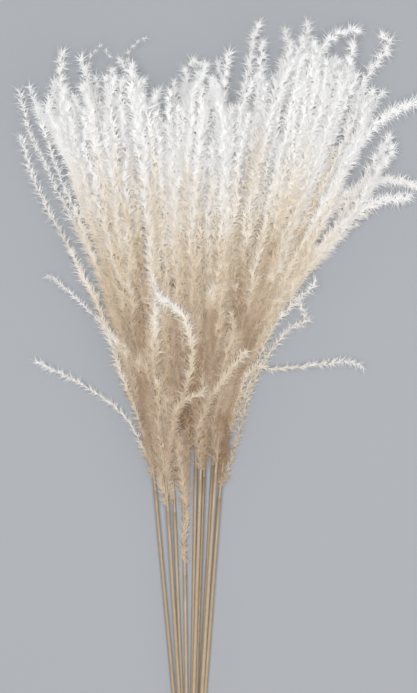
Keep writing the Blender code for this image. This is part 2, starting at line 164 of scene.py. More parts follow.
# %% Racemes that stand out
# The plume they grow from, the row of their root, how high they lie against the plume's
# layer in millimetres, and the pixels that they pass.
Route = namedtuple("Route", "stem root_v rise pixels")
ROUTES = (
    Route(0, 455, 2, ((128, 392), (104, 319), (83, 276), (58, 228), (34, 181), (23, 139))),
    Route(0, 420, -6, ((118, 340), (93, 263), (62, 200), (31, 135), (17, 92))),
    Route(0, 380, 8, ((82, 230), (52, 155), (33, 90))),
    Route(0, 412, 12, ((118, 346), (86, 308), (73, 295), (53, 277))),
    Route(0, 466, 4, ((124, 417), (87, 388), (66, 377), (38, 362))),
    Route(1, 306, 6, ((100, 120), (88, 78), (94, 58), (105, 49), (110, 60))),
    Route(1, 470, 34, ((175, 420), (190, 375), (191, 340), (182, 315), (160, 298))),
    Route(1, 486, 26, ((170, 440), (178, 408), (188, 399), (201, 394))),
    Route(3, 306, 4, ((142, 110), (127, 62), (134, 47), (147, 39))),
    Route(3, 572, 5, ((183, 548), (186, 515), (182, 480), (176, 440))),
    Route(4, 290, 2, ((192, 120), (186, 68), (193, 58), (204, 61))),
    Route(5, 474, 34, ((198, 432), (206, 406), (217, 388), (231, 368), (245, 353))),
    Route(8, 310, 2, ((308, 120), (318, 58), (336, 38), (355, 34))),
    Route(9, 320, 4, ((345, 140), (362, 84), (386, 50), (381, 38))),
    Route(9, 492, -8, ((239, 437), (248, 399), (266, 359), (290, 329), (308, 321), (300, 300))),
    Route(9, 440, 8, ((258, 359), (276, 322), (313, 284))),
    Route(9, 425, 14, ((252, 371), (275, 369), (300, 367), (325, 364), (345, 361), (363, 366))),
    Route(9, 345, 12, ((338, 180), (376, 125), (411, 104), (427, 97))),
    Route(9, 400, -4, ((300, 262), (339, 201), (383, 180), (417, 184), (429, 192))),
    Route(9, 370, 5, ((318, 250), (369, 206), (405, 197))),
)

# Other tips that the picture shows, for each plume, and the fan's upper edge by columns.
TIPS = {
    0: ((57, 56), (72, 90), (40, 108)),
    1: ((85, 64), (120, 84), (138, 100)),
    2: ((96, 86), (66, 120), (129, 58)),
    3: ((152, 92), (170, 96)),
    4: ((222, 61), (176, 80), (206, 92)),
    5: ((196, 74), (214, 84), (184, 96)),
    6: ((243, 87), (253, 24), (230, 57), (262, 44)),
    7: ((269, 62), (294, 26), (309, 22), (330, 250)),
    8: ((330, 62), (356, 51), (345, 80), (316, 268)),
    9: ((374, 92), (392, 150), (370, 208), (351, 232)),
}
EDGE_U = (16, 57, 103, 150, 188, 240, 253, 309, 355, 382, 410)
EDGE_V = (93, 62, 72, 84, 68, 80, 36, 30, 44, 56, 120)

# %% [markdown]
# ## Courses
#
# A plume's middle line starts along its culm and leans out to its place in the fan. Each
# raceme leaves that line at its root and arches to its tip. The few that can be told apart
# in the picture follow their own pixels instead. A smooth curve through a few points gives
# each course, read at equal steps.


# %% Places in the bundle
def row_y(v):
    """Distance above the band of a pixel row."""
    return (BAND_V - v) * PIXEL


def flat_place(u, v):
    """Plan position of a pixel: to the right of the bundle's middle, and above the band."""
    return (u - AXIS_U) * PIXEL, row_y(v)


def layer_height(layer, y):
    """Height over the floor of a layer of stems, at a distance above the band."""
    return BAND_HEIGHT + CLIMB * y + layer * (LAYER_STEP + LAYER_SPREAD * max(y, 0.0))


def culm_point(stem, y):
    """Centre of a culm: straight above the band, gathered below it."""
    neck_x = stem.column * COLUMN_STEP
    fork_x, fork_y = flat_place(stem.fork_u, FORK_V)
    fan_out = max(y, 0.0) / fork_y
    splay = 1.0 + CUT_SPLAY * max(-y, 0.0)
    x = neck_x * splay + (fork_x - neck_x) * fan_out
    return np.array((x, y, layer_height(stem.layer, y)))


# %% Smooth curves
SAMPLE_STEP = 6.0 * MM
FINE_STEPS = 16


def lengths_along(course):
    """Distance of each point of a course from its start."""
    return np.concatenate(([0.0], np.cumsum(np.linalg.norm(np.diff(course, axis=0), axis=1))))


def read_course(course, distances):
    """Points of a course at one distance along it or at many."""
    reach = lengths_along(course)
    return np.stack([np.interp(distances, reach, course[:, k]) for k in range(3)], axis=-1)


def along_curve(points, step):
    """Smooth curve through a few points, read at equal steps of about one step length."""
    knots = np.array(points, dtype=float)
    padded = np.vstack((2 * knots[0] - knots[1], knots, 2 * knots[-1] - knots[-2]))
    share = np.linspace(0.0, 1.0, FINE_STEPS, endpoint=False)[:, None]
    pieces = []
    for a, b, c, d in zip(padded, padded[1:], padded[2:], padded[3:]):
        bend = (2 * a - 5 * b + 4 * c - d) * share**2 + (3 * b - a - 3 * c + d) * share**3
        pieces.append(0.5 * (2 * b + (c - a) * share + bend))
    fine = np.vstack(pieces + [knots[-1:]])
    whole = lengths_along(fine)[-1]
    return read_course(fine, np.linspace(0.0, whole, max(3, round(whole / step) + 1)))


def bent_course(start, knee, end, knots):
    """Course that leaves its start towards the knee and bends over to its end."""
    share = np.linspace(0.0, 1.0, knots)[:, None]
    curve = start * (1 - share) ** 2 + 2 * knee * share * (1 - share) + end * share**2
    return along_curve(curve, SAMPLE_STEP)


# %% A plume's middle line
LINE_KNOTS = 9


def body_row(stem):
    """Pixel row where a plume's full body starts, above any lone raceme at its foot."""
    return min(stem.base_v, LONE_FOOT_V)


def axis_end_row(stem):
    """Pixel row where a plume's axis ends and only its racemes go on."""
    return FAN_V + (1.0 - AXIS_REACH) * (body_row(stem) - FAN_V)


def plume_line(stem):
    """Middle of a plume, from its base to FAN_V: it leaves along its culm and leans out."""
    base_y = row_y(stem.base_v)
    fan_x, fan_y = flat_place(stem.fan_u, FAN_V)
    base = culm_point(stem, base_y)
    straight = culm_point(stem, base_y + LEAN_FROM * (fan_y - base_y))
    end = np.array((fan_x, fan_y, layer_height(stem.layer, fan_y)))
    return bent_course(base, straight, end, LINE_KNOTS)


def line_at(line, y):
    """Point of a plume's middle line at one distance above the band, or points at many."""
    return np.stack([np.interp(y, line[:, 1], line[:, k]) for k in range(3)], axis=-1)


def row_on_line(line, v):
    """Point of a plume's middle line in a pixel row, and the line's direction there."""
    y = row_y(v)
    here = line_at(line, y)
    direction = line_at(line, y + SAMPLE_STEP) - here
    return here, direction / np.linalg.norm(direction)


def axis_course(stem):
    """The part of the plume's middle line that its axis follows."""
    line = plume_line(stem)
    return line[line[:, 1] <= row_y(axis_end_row(stem))]


# %% A raceme's course
Strand = namedtuple("Strand", "stem course radius freedom along kind")
ROUTE_GIVE = 0.15
FREE_GIVE = 0.6
LENGTH_GIVE = 0.1
ROOT_FREE = 40.0 * MM
RACEME_KNOTS = 7


def tuft_size(distance, whole):
    """Reach of the solids' tufts: small by the root, full along the raceme, less at the tip."""
    grown = np.clip(ROOT_TUFT + (1.0 - ROOT_TUFT) * distance / ROOT_SWELL, 0.0, 1.0)
    tapered = np.clip(TIP_TUFT + (1.0 - TIP_TUFT) * (whole - distance) / TIP_TAPER, 0.0, 1.0)
    return TUFT_RADIUS * grown * tapered


def raceme_strand(stem_number, course, held, kind):
    """A raceme with how far each of its points may give way sideways and in height."""
    along = lengths_along(course)
    loose = np.clip(along / ROOT_FREE, 0.0, 1.0)
    sideways = ROUTE_GIVE if held else FREE_GIVE
    freedom = np.column_stack((loose * sideways, loose * LENGTH_GIVE, loose))
    return Strand(stem_number, course, tuft_size(along, along[-1]), freedom, along, kind)


def free_course(line, root_v, tip):
    """A raceme that leaves its plume's axis outwards and arches to its tip."""
    root, direction = row_on_line(line, root_v)
    to_tip = tip - root
    outward = to_tip - direction * to_tip.dot(direction)
    outward /= max(np.linalg.norm(outward), 1e-6)
    leave = direction + outward * LEAVE_SLOPE
    knee = root + leave / np.linalg.norm(leave) * KNEE * np.linalg.norm(to_tip)
    return bent_course(root, knee, tip, RACEME_KNOTS)


def routed_course(stem, line, route):
    """A raceme that passes the pixels of its route and rises evenly to its height."""
    root, _ = row_on_line(line, route.root_v)
    flat = [flat_place(u, v) for u, v in route.pixels]
    stops = np.array([root[:2], *flat])
    reach = lengths_along(stops)
    tip_height = layer_height(stem.layer, flat[-1][1]) + route.rise * MM
    heights = root[2] + (tip_height - root[2]) * (reach / reach[-1])
    return along_curve(np.column_stack((stops, heights)), SAMPLE_STEP)


# %% Tall racemes and low ones
def tall_raceme(number, line, tip, root_v, lowest, kind):
    """A raceme up to its tip, with its root kept between its plume's axis end and foot."""
    root_v = min(max(root_v, axis_end_row(STEMS[number]) + ROOT_MARGIN), lowest)
    return raceme_strand(number, free_course(line, root_v, np.array(tip)), False, kind)


def low_raceme(number, line, root_v, length, spread, turn):
    """A raceme near a plume's foot, which stays close to the plume's middle line."""
    beside = spread * np.array((math.cos(turn), 0.0, math.sin(turn)))
    tip = row_on_line(line, root_v - length / PIXEL)[0] + beside
    return raceme_strand(number, free_course(line, root_v, tip), False, "low")


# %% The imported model's racemes
FIRST_RING = 0.6


def inner_tips(stem, count, chance):
    """Tip pixels inside the fan's upper edge, spread round the plume's middle."""
    tips = []
    for k in range(count):
        turn = GOLDEN_TURN * (k + 1)
        ring = math.sqrt((k + FIRST_RING) / RACEMES_PER_PLUME)
        u = stem.fan_u + FAN_HALF_WIDTH * ring * math.cos(turn)
        inward = chance.uniform(*INNER_DROP) + OUTER_DROP * ring
        tips.append((u, np.interp(u, EDGE_U, EDGE_V) + inward))
    return tips


def plan_racemes():
    """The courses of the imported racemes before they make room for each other."""
    chance = random.Random(SEED)
    strands = []
    for number, stem in enumerate(STEMS):
        line = plume_line(stem)
        own = [k for k, route in enumerate(ROUTES) if route.stem == number]
        for k in own:
            course = routed_course(stem, line, ROUTES[k])
            strands.append(raceme_strand(number, course, True, f"route {k}"))
        missing = RACEMES_PER_PLUME - len(own) - len(TIPS[number])
        tips = [*TIPS[number], *inner_tips(stem, missing, chance)]
        for k, (u, v) in enumerate(tips):
            x, y = flat_place(u, v)
            swing = math.sin(GOLDEN_TURN * (k + 1) + number)
            sink = REST_SINK * min(stem.layer, 0)
            height = layer_height(stem.layer, y) + FAN_HALF_DEPTH * swing + sink
            root_v = v + RACEME_LENGTH / PIXEL * chance.uniform(*LENGTH_SPREAD)
            lowest = stem.base_v - FOOT_MARGIN - FOOT_STEP * k
            strands.append(tall_raceme(number, line, (x, y, height), root_v, lowest, "main"))
        for k in range(LOW_RACEMES):
            root_v = body_row(stem) - LOW_ROOT - k * LOW_ROOT_STEP
            turn = GOLDEN_TURN * (k + 1) + number
            strands.append(low_raceme(number, line, root_v, LOW_LENGTH, LOW_SPREAD, turn))
    return strands


# %% [markdown]
# ## Making room
#
# Racemes that are drawn one by one run through each other. Real ones push each other aside,
# so the courses do the same: each pair of points that is too near moves apart a little, and
# each course is smoothed after every round. A search tree finds the near pairs quickly. A
# raceme can't move at its root, gives way more and more further out, and gives most easily
# in height, where the picture doesn't tell its place.

# %% Rules for making room
SETTLE_ROUNDS = 90
CLEARANCE = 0.9 * MM
SAME_PLUME_SHARE = 0.8
FLOOR_CLEAR = 2.8 * MM
SMOOTHING = 0.3
PAIRS_EVERY = 5
SEARCH_REACH = 2.0 * TUFT_RADIUS + 3.0 * CLEARANCE
CULM_GUARD_FROM = 0.3
CULM_TOP_RADIUS = 1.45 * MM


def fixed_strand(number, course, radius):
    """A course that others keep clear of and that never moves."""
    still = np.zeros((len(course), 3))
    full = np.full(len(course), radius)
    return Strand(number, course, full, still, lengths_along(course), "fixed")


def keep_clear_of():
    """Axes and culms, which stay where they are while the racemes make room."""
    axes = []
    culms = []
    for number, stem in enumerate(STEMS):
        axes.append(fixed_strand(number, axis_course(stem), AXIS_BASE_RADIUS))
        top = row_y(stem.base_v)
        ys = np.arange(CULM_GUARD_FROM * top, top, SAMPLE_STEP)
        course = np.array([culm_point(stem, y) for y in ys])
        culms.append(fixed_strand(number, course, CULM_TOP_RADIUS))
    return axes + culms


def near_pairs(points, owners, reach):
    """Numbers of the points that lie near each other on two different courses."""
    tree = KDTree(len(points))
    for index, point in enumerate(points):
        tree.insert(point, index)
    tree.balance()
    pairs = [
        (index, other)
        for index, point in enumerate(points)
        for _, other, _ in tree.find_range(point, reach)
        if other > index and owners[other] != owners[index]
    ]
    return np.array(pairs)


def settle(strands, rounds, spacing):
    """Move racemes apart until their tufts are clear, keeping each course smooth."""
    start = np.vstack([strand.course for strand in strands])
    owners = np.concatenate([np.full(len(s.course), k) for k, s in enumerate(strands)])
    plumes = np.concatenate([np.full(len(s.course), s.stem) for s in strands])
    radius = np.concatenate([strand.radius for strand in strands])
    freedom = np.vstack([strand.freedom for strand in strands])
    along = np.concatenate([strand.along for strand in strands])
    inner = (owners[1:-1] == owners[:-2]) & (owners[1:-1] == owners[2:])
    shift = np.zeros_like(start)
    for turn in range(rounds):
        points = start + shift
        if turn % PAIRS_EVERY == 0:
            pairs = near_pairs(points, owners, spacing * SEARCH_REACH)
            first, second = pairs[:, 0], pairs[:, 1]
            same = plumes[first] == plumes[second]
            rooted = np.clip(np.minimum(along[first], along[second]) / ROOT_FREE, 0.0, 1.0)
            share = np.where(same, SAME_PLUME_SHARE * rooted, 1.0)
            need = spacing * share * (radius[first] + radius[second] + CLEARANCE)
        between = points[first] - points[second]
        apart = np.maximum(np.linalg.norm(between, axis=1), 1e-6)
        push = between * (np.clip(need - apart, 0.0, None) * 0.5 / apart)[:, None]
        move = np.zeros_like(start)
        np.add.at(move, first, push)
        np.add.at(move, second, -push)
        shift += move * freedom
        middle = 0.5 * (shift[:-2] + shift[2:]) - shift[1:-1]
        shift[1:-1] += np.where(inner[:, None], SMOOTHING * middle, 0.0) * (freedom[1:-1] > 0)
        low = np.maximum(FLOOR_CLEAR - (start + shift)[:, 2], 0.0)
        shift[:, 2] += low * (freedom[:, 2] > 0)
    ends = np.cumsum([len(strand.course) for strand in strands])[:-1]
    parts = zip(strands, np.split(start + shift, ends))
    return [strand._replace(course=course) for strand, course in parts]


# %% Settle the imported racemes
fixed = keep_clear_of()
packed = settle(plan_racemes() + fixed, SETTLE_ROUNDS, 1.0)[: -len(fixed)]
print(f"{len(packed)} packed racemes settled after {time.perf_counter() - START:.1f} s")

# %% [markdown]
# ## The racemes between
#
# The solids hold about eleven racemes to a plume, as many as their triangles allow. A real
# plume can have forty, so the fan shows hardly any gap. Twenty more are added to each here.
# Their tips stop at or below the crest, the fan's own ragged upper edge, and the packed
# racemes stay where they are while the new ones find room between them.

# %% The crest of the fan, and the racemes that fill it
FILL_SEED = 23
CREST = (
    (14, 100), (32, 96), (44, 90), (57, 64), (66, 84), (75, 100), (83, 84), (95, 66),
    (108, 66), (115, 78), (128, 66), (143, 76), (152, 92), (163, 112), (174, 100),
    (185, 76), (195, 74), (211, 88), (221, 72), (228, 92), (241, 98), (252, 102),
    (258, 84), (263, 56), (274, 74), (284, 44), (296, 36), (308, 30), (318, 42),
    (336, 44), (346, 52), (356, 66), (370, 78), (380, 76), (386, 112), (410, 124),
)
FILL_RACEMES = 13
FILL_FIRST = 0.5
FILL_DROP = (0.0, 20.0)
FILL_OUTER_DROP = 20.0
FILL_HALF_WIDTH = 46.0
FILL_LENGTH = (0.75, 1.15)
FILL_LOW = 7
FILL_LOW_LENGTH = (60.0 * MM, 140.0 * MM)
FILL_LOW_SPREAD = 11.0 * MM
FILL_LOW_ROOT = (2.0, 10.0)
FILL_LOW_STEP = 11.0
FILL_LOW_TURN = 1.6
FILL_ROUNDS = 30
FILL_SPACING = 0.62


def fill_racemes():
    """More racemes for each plume, tall ones up to the crest and low ones round its foot."""
    chance = random.Random(FILL_SEED)
    crest_u, crest_v = zip(*CREST)
    strands = []
    for number, stem in enumerate(STEMS):
        line = plume_line(stem)
        for k in range(FILL_RACEMES):
            turn = GOLDEN_TURN * (k + FILL_FIRST) + number
            ring = math.sqrt((k + FILL_FIRST) / FILL_RACEMES)
            u = stem.fan_u + FILL_HALF_WIDTH * ring * math.cos(turn)
            crest = np.interp(u, crest_u, crest_v)
            v = crest + chance.uniform(*FILL_DROP) + FILL_OUTER_DROP * ring**2
            x, y = flat_place(u, v)
            height = layer_height(stem.layer, y) + FAN_HALF_DEPTH * ring * math.sin(turn)
            root_v = v + RACEME_LENGTH / PIXEL * chance.uniform(*FILL_LENGTH)
            lowest = body_row(stem) - FOOT_MARGIN - FOOT_STEP * k
            strands.append(tall_raceme(number, line, (x, y, height), root_v, lowest, "fill"))
        for k in range(FILL_LOW):
            root_v = body_row(stem) - chance.uniform(*FILL_LOW_ROOT) - k * FILL_LOW_STEP
            turn = GOLDEN_TURN * (k + FILL_LOW_TURN) - number
            length = chance.uniform(*FILL_LOW_LENGTH)
            strands.append(low_raceme(number, line, root_v, length, FILL_LOW_SPREAD, turn))
    return strands


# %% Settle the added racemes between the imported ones
added = fill_racemes()
held = [s._replace(freedom=np.zeros_like(s.freedom)) for s in packed + fixed]
settled = packed + settle(added + held, FILL_ROUNDS, FILL_SPACING)[: len(added)]
print(f"{len(settled)} racemes in all after {time.perf_counter() - START:.1f} s")

# %% [markdown]
# ## The fan's sides
#
# The picture shows where the thick of the fan ends on each side. Beyond that line only single
# racemes stand out, with the ground showing between them, and each of those has its route.
# The others are drawn in softly as they come near the line, so none crosses it and they
# don't pile up on it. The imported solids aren't drawn in, so near the sides a dressed raceme
# can lie further in than its solid, by what the cell prints.

# %% Draw the sides in
LEFT_SIDE = (
    (20, 100), (52, 135), (66, 160), (79, 200), (91, 233), (102, 265), (107, 291),
    (110, 330), (119, 363), (130, 394), (141, 424), (151, 460), (156, 490),
)
RIGHT_SIDE = (
    (400, 205), (366, 222), (348, 236), (324, 256), (310, 270), (300, 285), (284, 300),
    (260, 326), (245, 356), (235, 387), (225, 418), (220, 448), (217, 480),
)
SIDE_BAND = 20.0 * PIXEL
SHIFT_TOLD = 0.5 * MM


def drawn_in(strand):
    """The raceme with its course kept inside the fan's two sides, all but its root."""
    if strand.kind.startswith("route"):
        return strand
    course = strand.course.copy()
    rows = BAND_V - course[:, 1] / PIXEL
    loose = np.clip(strand.along / ROOT_FREE, 0.0, 1.0)
    for side, outwards in ((LEFT_SIDE, -1.0), (RIGHT_SIDE, 1.0)):
        side_u, side_v = zip(*side)
        limit = (np.interp(rows, side_v, side_u) - AXIS_U) * PIXEL
        reach = np.maximum(outwards * (course[:, 0] - limit) + SIDE_BAND, 0.0)
        eased = SIDE_BAND * (1.0 - np.exp(-reach / SIDE_BAND))
        course[:, 0] -= outwards * loose * (reach - eased)
    return strand._replace(course=course)


courses = [drawn_in(strand) for strand in settled]
shifts = [np.abs(new.course - old.course).max() for new, old in zip(courses, settled)]
for name, drawn in (("packed", shifts[: len(packed)]), ("added", shifts[len(packed) :])):
    moved = [shift for shift in drawn if shift > SHIFT_TOLD]
    print(f"{len(moved)} {name} racemes drawn in, by up to {max(moved) / MM:.0f} mm")

# %% [markdown]
# ## Outside and inside
#
# The fan is up to ten racemes deep, so no view reaches its inside. The real racemes are just
# as hairy there, but a mesh can only hold so many hairs. The inner spikelets get few and wide
# ones, and the hairs saved make the outside finer. A place counts as inside where several
# racemes pass on all four sides of it: above, below, left and right.

# %% How sheltered each place on a raceme is
SHELTER_REACH = 8.0 * MM
SHELTER_APART = 4.0 * MM
SHELTER_POINTS = 5
Raceme = namedtuple("Raceme", "stem course kind shelter")


def shelter(strands):
    """How sheltered each point of each raceme is, from 0 on the outside to 1 inside."""
    points = np.vstack([strand.course for strand in strands])
    hidden = np.empty(len(points))
    for index, point in enumerate(points):
        x, y, z = (points - point).T
        level = np.abs(y) < SHELTER_REACH
        column = z[level & (np.abs(x) < SHELTER_REACH)]
        row = x[level & (np.abs(z) < SHELTER_REACH)]
        sides = (column, -column, row, -row)
        hidden[index] = min(np.count_nonzero(side > SHELTER_APART) for side in sides)
    ends = np.cumsum([len(strand.course) for strand in strands])[:-1]
    return np.split(np.clip(hidden / SHELTER_POINTS, 0.0, 1.0), ends)


racemes = [Raceme(s.stem, s.course, s.kind, deep) for s, deep in zip(courses, shelter(courses))]
inside = np.concatenate([raceme.shelter for raceme in racemes])
print(f"points inside {np.mean(inside > 0.99):.0%}, half inside {np.mean(inside > 0.5):.0%}")

# %% [markdown]
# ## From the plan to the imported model's frame
#
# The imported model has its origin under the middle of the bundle's box. The band gives the
# shift between the plan and that frame, because the plan says exactly how the band hugs the
# culms. The farthest culm in each direction decides where the band passes.

# %% The band's path and the shift
CULM_CUT_RADIUS = 1.75 * MM
BAND_TURNS = 2
BAND_WIDTH = 2.6 * MM
BAND_THICKNESS = 1.3 * MM
BAND_INNER = CULM_CUT_RADIUS + GAP


def band_path(angle, reach):
    """Where a loop that hugs the culms at the given reach has its outward direction."""
    outward = np.array((math.cos(angle), 0.0, math.sin(angle)))
    half = 0.5 * BAND_TURNS * BAND_WIDTH
    necks = [culm_point(stem, y) for stem in STEMS for y in (-half, half)]
    farthest = max(necks, key=lambda neck: neck.dot(outward))
    return farthest + reach * outward


def plan_shift():
    """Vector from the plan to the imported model's frame."""
    outer = BAND_INNER + BAND_THICKNESS
    right, top, left, bottom = (band_path(k * math.pi / 2, outer) for k in range(4))
    planned = np.array((0.5 * (right[0] + left[0]), 0.0, 0.5 * (top[2] + bottom[2])))
    low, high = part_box("band")
    return 0.5 * np.array(low + high) - planned


SHIFT = plan_shift()
print("plan to frame, mm", np.round(SHIFT / MM, 2))

# %% [markdown]
# ## Colours and materials
#
# Every colour is an sRGB hex value, turned to the linear values that the shader expects by
# one function. One more function adds a node with its settings and its links. Grass changes
# colour along the plant, so its colours are read off a row of stops by a value that is
# stored on the mesh, and a noise pattern makes that value a little uneven.


# %% Colours, nodes and new materials
def linear(colour):
    """Linear RGBA of an sRGB hex colour."""
    shares = [int(colour[k : k + 2], 16) / 255.0 for k in (1, 3, 5)]
    bright = [s / 12.92 if s <= 0.04045 else ((s + 0.055) / 1.055) ** 2.4 for s in shares]
    return (*bright, 1.0)


def feed(tree, node, inputs):
    """Set a node's inputs, each to a value or to another node's output."""
    for name, value in inputs.items():
        if isinstance(value, bpy.types.NodeSocket):
            tree.links.new(value, node.inputs[name])
        else:
            node.inputs[name].default_value = value


def add_node(tree, kind, settings=None, inputs=None):
    """Add a node, with property settings and with values or links for its inputs."""
    node = tree.nodes.new(kind)
    for name, value in (settings or {}).items():
        setattr(node, name, value)
    feed(tree, node, inputs or {})
    return node


def new_material(name):
    """An empty material with its shader: the material, its node tree and the shader."""
    material = bpy.data.materials.new(name)
    material.use_nodes = True
    tree = material.node_tree
    return material, tree, tree.nodes["Principled BSDF"]


def stored_colour(tree, attribute, change, stops):
    """Colour for a value stored on the mesh, changed a little by a pattern's output."""
    stored = add_node(tree, "ShaderNodeAttribute", {"attribute_name": attribute})
    level = add_node(
        tree, "ShaderNodeMath", {"operation": "ADD", "use_clamp": True},
        {0: stored.outputs["Fac"], 1: change},
    )
    ramp = add_node(tree, "ShaderNodeValToRGB", None, {"Fac": level.outputs[0]})
    elements = ramp.color_ramp.elements
    while len(elements) < len(stops):
        elements.new(0.5)
    for element, (position, colour) in zip(elements, stops):
        element.position = position
        element.color = linear(colour)
    return ramp.outputs["Color"]


# %% [markdown]
# ### Bleached hair
#
# The hairs are cellulose, like raw cotton, and silky. Those at the racemes' tips are bleached
# to a cool white, and those deep in the plume are cream and tan. That change is stored on the
# mesh as a value called whiteness, which the material turns into a colour. Whiteness also rises
# from the plumes' foot to the fan's head, partly with real bleaching and partly as painted light
# and shade, and it is lowered deep inside the fan as painted shade. Broad soft patches make some
# parts of the fan warmer.

# %% Hair material
WARM_PATCH = 38.0 * MM
FINE_PATCH = 5.0 * MM
HAIR_SWING = 0.06
HAIR_STOPS = (
    (0.0, "#84654A"), (0.2, "#AB8A66"), (0.33, "#B39B82"), (0.43, "#C6AE94"),
    (0.56, "#DAC5A8"), (0.68, "#F0E4D2"), (0.85, "#FBF9F7"), (1.0, "#FEFEFE"),
)


def hair_material():
    """Bleached plume hair: matt silk with a soft sheen, near white at the tips, cream below."""
    material, tree, shader = new_material("bleached silky plume hair")
    place = add_node(tree, "ShaderNodeTexCoord").outputs["Object"]
    broad, fine = (
        add_node(
            tree, "ShaderNodeTexNoise", None, {"Vector": place, "Scale": 1.0 / size, "Detail": 2.0}
        )
        for size in (WARM_PATCH, FINE_PATCH)
    )
    both = add_node(
        tree, "ShaderNodeMath", {"operation": "ADD"},
        {0: broad.outputs["Fac"], 1: fine.outputs["Fac"]},
    )
    swing = add_node(
        tree, "ShaderNodeMapRange", None,
        {"Value": both.outputs[0], "From Min": 0.6, "From Max": 1.4, "To Min": -HAIR_SWING,
         "To Max": HAIR_SWING},
    )
    feed(tree, shader, {
        "Base Color": stored_colour(tree, "whiteness", swing.outputs["Result"], HAIR_STOPS),
        "Roughness": 0.62,
        "IOR": 1.53,
        "Sheen Weight": 0.25,
        "Sheen Roughness": 0.5,
    })
    return material


# %% [markdown]
# ### Spikelets and stalks
#
# The spikelets' scales are papery and matt, and keep a straw tint under the hairs. The stalks
# are golden tan, darker at their foot and a little smoother. They show as thin streaks where
# the hairs part.

# %% Spikelet and stalk materials
STALK_PATCH = 9.0 * MM
STALK_SWING = 0.15
SCALE_STOPS = ((0.0, "#8E7050"), (0.4, "#BFA684"), (0.7, "#E6DDD0"), (1.0, "#F8F6F2"))
STALK_STOPS = ((0.0, "#8A6A48"), (0.4, "#B89A74"), (0.75, "#E9E0D2"), (1.0, "#F6F2EA"))


def dried_material(name, stops, roughness):
    """Papery or woody tissue whose colour follows whiteness, with small uneven patches."""
    material, tree, shader = new_material(name)
    place = add_node(tree, "ShaderNodeTexCoord").outputs["Object"]
    patches = add_node(
        tree, "ShaderNodeTexNoise", None, {"Vector": place, "Scale": 1.0 / STALK_PATCH}
    )
    swing = add_node(
        tree, "ShaderNodeMapRange", None,
        {"Value": patches.outputs["Fac"], "From Min": 0.3, "From Max": 0.7,
         "To Min": -STALK_SWING, "To Max": STALK_SWING},
    )
    colour = stored_colour(tree, "whiteness", swing.outputs["Result"], stops)
    feed(tree, shader, {"Base Color": colour, "Roughness": roughness, "IOR": 1.5})
    return material


HAIR = hair_material()
SCALE = dried_material("papery dried spikelet scale", SCALE_STOPS, 0.6)
STALK = dried_material("dried straw raceme stalk", STALK_STOPS, 0.55)
print("made", HAIR.name, "/", SCALE.name, "/", STALK.name)

# %% [markdown]
# ### Straw
#
# A culm has a satin skin with fine fibres along it, so its streaks are a noise pattern that
# is stretched along the bundle. A tone stored on each culm makes some darker than others. The
# pith at the cut end is spongy and quite matt. Real fibres are about a tenth of a millimetre
# wide and pith cells are no wider. Neither would show, so both are drawn four or five times
# as coarse.

# %% Straw and pith materials
FIBRE_WIDTH = 0.45 * MM
FIBRE_LENGTH = 60.0 * MM
FIBRE_RELIEF = 0.05 * MM
CULM_STOPS = ((0.0, "#88745F"), (0.5, "#AE997F"), (1.0, "#CBB79C"))
JOINT_COLOUR = "#8F6A40"
PITH_COLOUR = "#EFE3C6"
PITH_PORE = 0.5 * MM
PITH_RELIEF = 0.2 * MM


def culm_material():
    """Dried straw culm: satin skin with long fibre streaks, darker at the joint."""
    material, tree, shader = new_material("satin dried straw culm")
    place = add_node(tree, "ShaderNodeTexCoord").outputs["Object"]
    fibre_place = add_node(
        tree, "ShaderNodeMapping", None,
        {"Vector": place, "Scale": (1.0 / FIBRE_WIDTH, 1.0 / FIBRE_LENGTH, 1.0 / FIBRE_WIDTH)},
    )
    fibres = add_node(
        tree, "ShaderNodeTexNoise", None,
        {"Vector": fibre_place.outputs["Vector"], "Scale": 1.0, "Detail": 3.0},
    ).outputs["Fac"]
    joint = add_node(tree, "ShaderNodeAttribute", {"attribute_name": "joint"})
    colour = add_node(
        tree, "ShaderNodeMix", {"data_type": "RGBA"},
        {0: joint.outputs["Fac"], 6: stored_colour(tree, "tone", fibres, CULM_STOPS),
         7: linear(JOINT_COLOUR)},
    )
    bump = add_node(
        tree, "ShaderNodeBump", None,
        {"Height": fibres, "Strength": 0.35, "Distance": FIBRE_RELIEF},
    )
    rough = add_node(
        tree, "ShaderNodeMapRange", None, {"Value": fibres, "To Min": 0.38, "To Max": 0.56}
    )
    feed(tree, shader, {
        "Base Color": colour.outputs[2],
        "Normal": bump.outputs["Normal"],
        "Roughness": rough.outputs["Result"],
        "IOR": 1.5,
    })
    return material


def pith_material():
    """Dry spongy pith: pale, matt and slightly pitted."""
    material, tree, shader = new_material("dry spongy pith")
    place = add_node(tree, "ShaderNodeTexCoord").outputs["Object"]
    pits = add_node(tree, "ShaderNodeTexNoise", None, {"Vector": place, "Scale": 1.0 / PITH_PORE})
    bump = add_node(
        tree, "ShaderNodeBump", None,
        {"Height": pits.outputs["Fac"], "Strength": 0.6, "Distance": PITH_RELIEF},
    )
    feed(tree, shader, {
        "Base Color": linear(PITH_COLOUR),
        "Normal": bump.outputs["Normal"],
        "Roughness": 0.9,
    })
    return material


STRAW = culm_material()
PITH = pith_material()
print("made", STRAW.name, "/", PITH.name)

# %% [markdown]
# ## One spikelet with its hairs
#
# A spikelet is a slim scale less than 5 mm long. Silky hairs stand in a ring at its foot,
# and a fine bristle, the awn, leaves its tip. There are about eighteen thousand of them, so
# each has as few faces as it can: the scale is a sphere with three sides drawn out long, and
# each hair is a three-sided cone. Deep in the plume the hairs lie close along the raceme and
# make a pelt. Towards the tips they open to a star that stands off on a short stalk. So
# there are three kinds of tuft, from closed to open, each in several versions. Racemes that
# stand alone show the ground through their hairs, so theirs have fewer, and the inside of
# the fan has a plain kind.

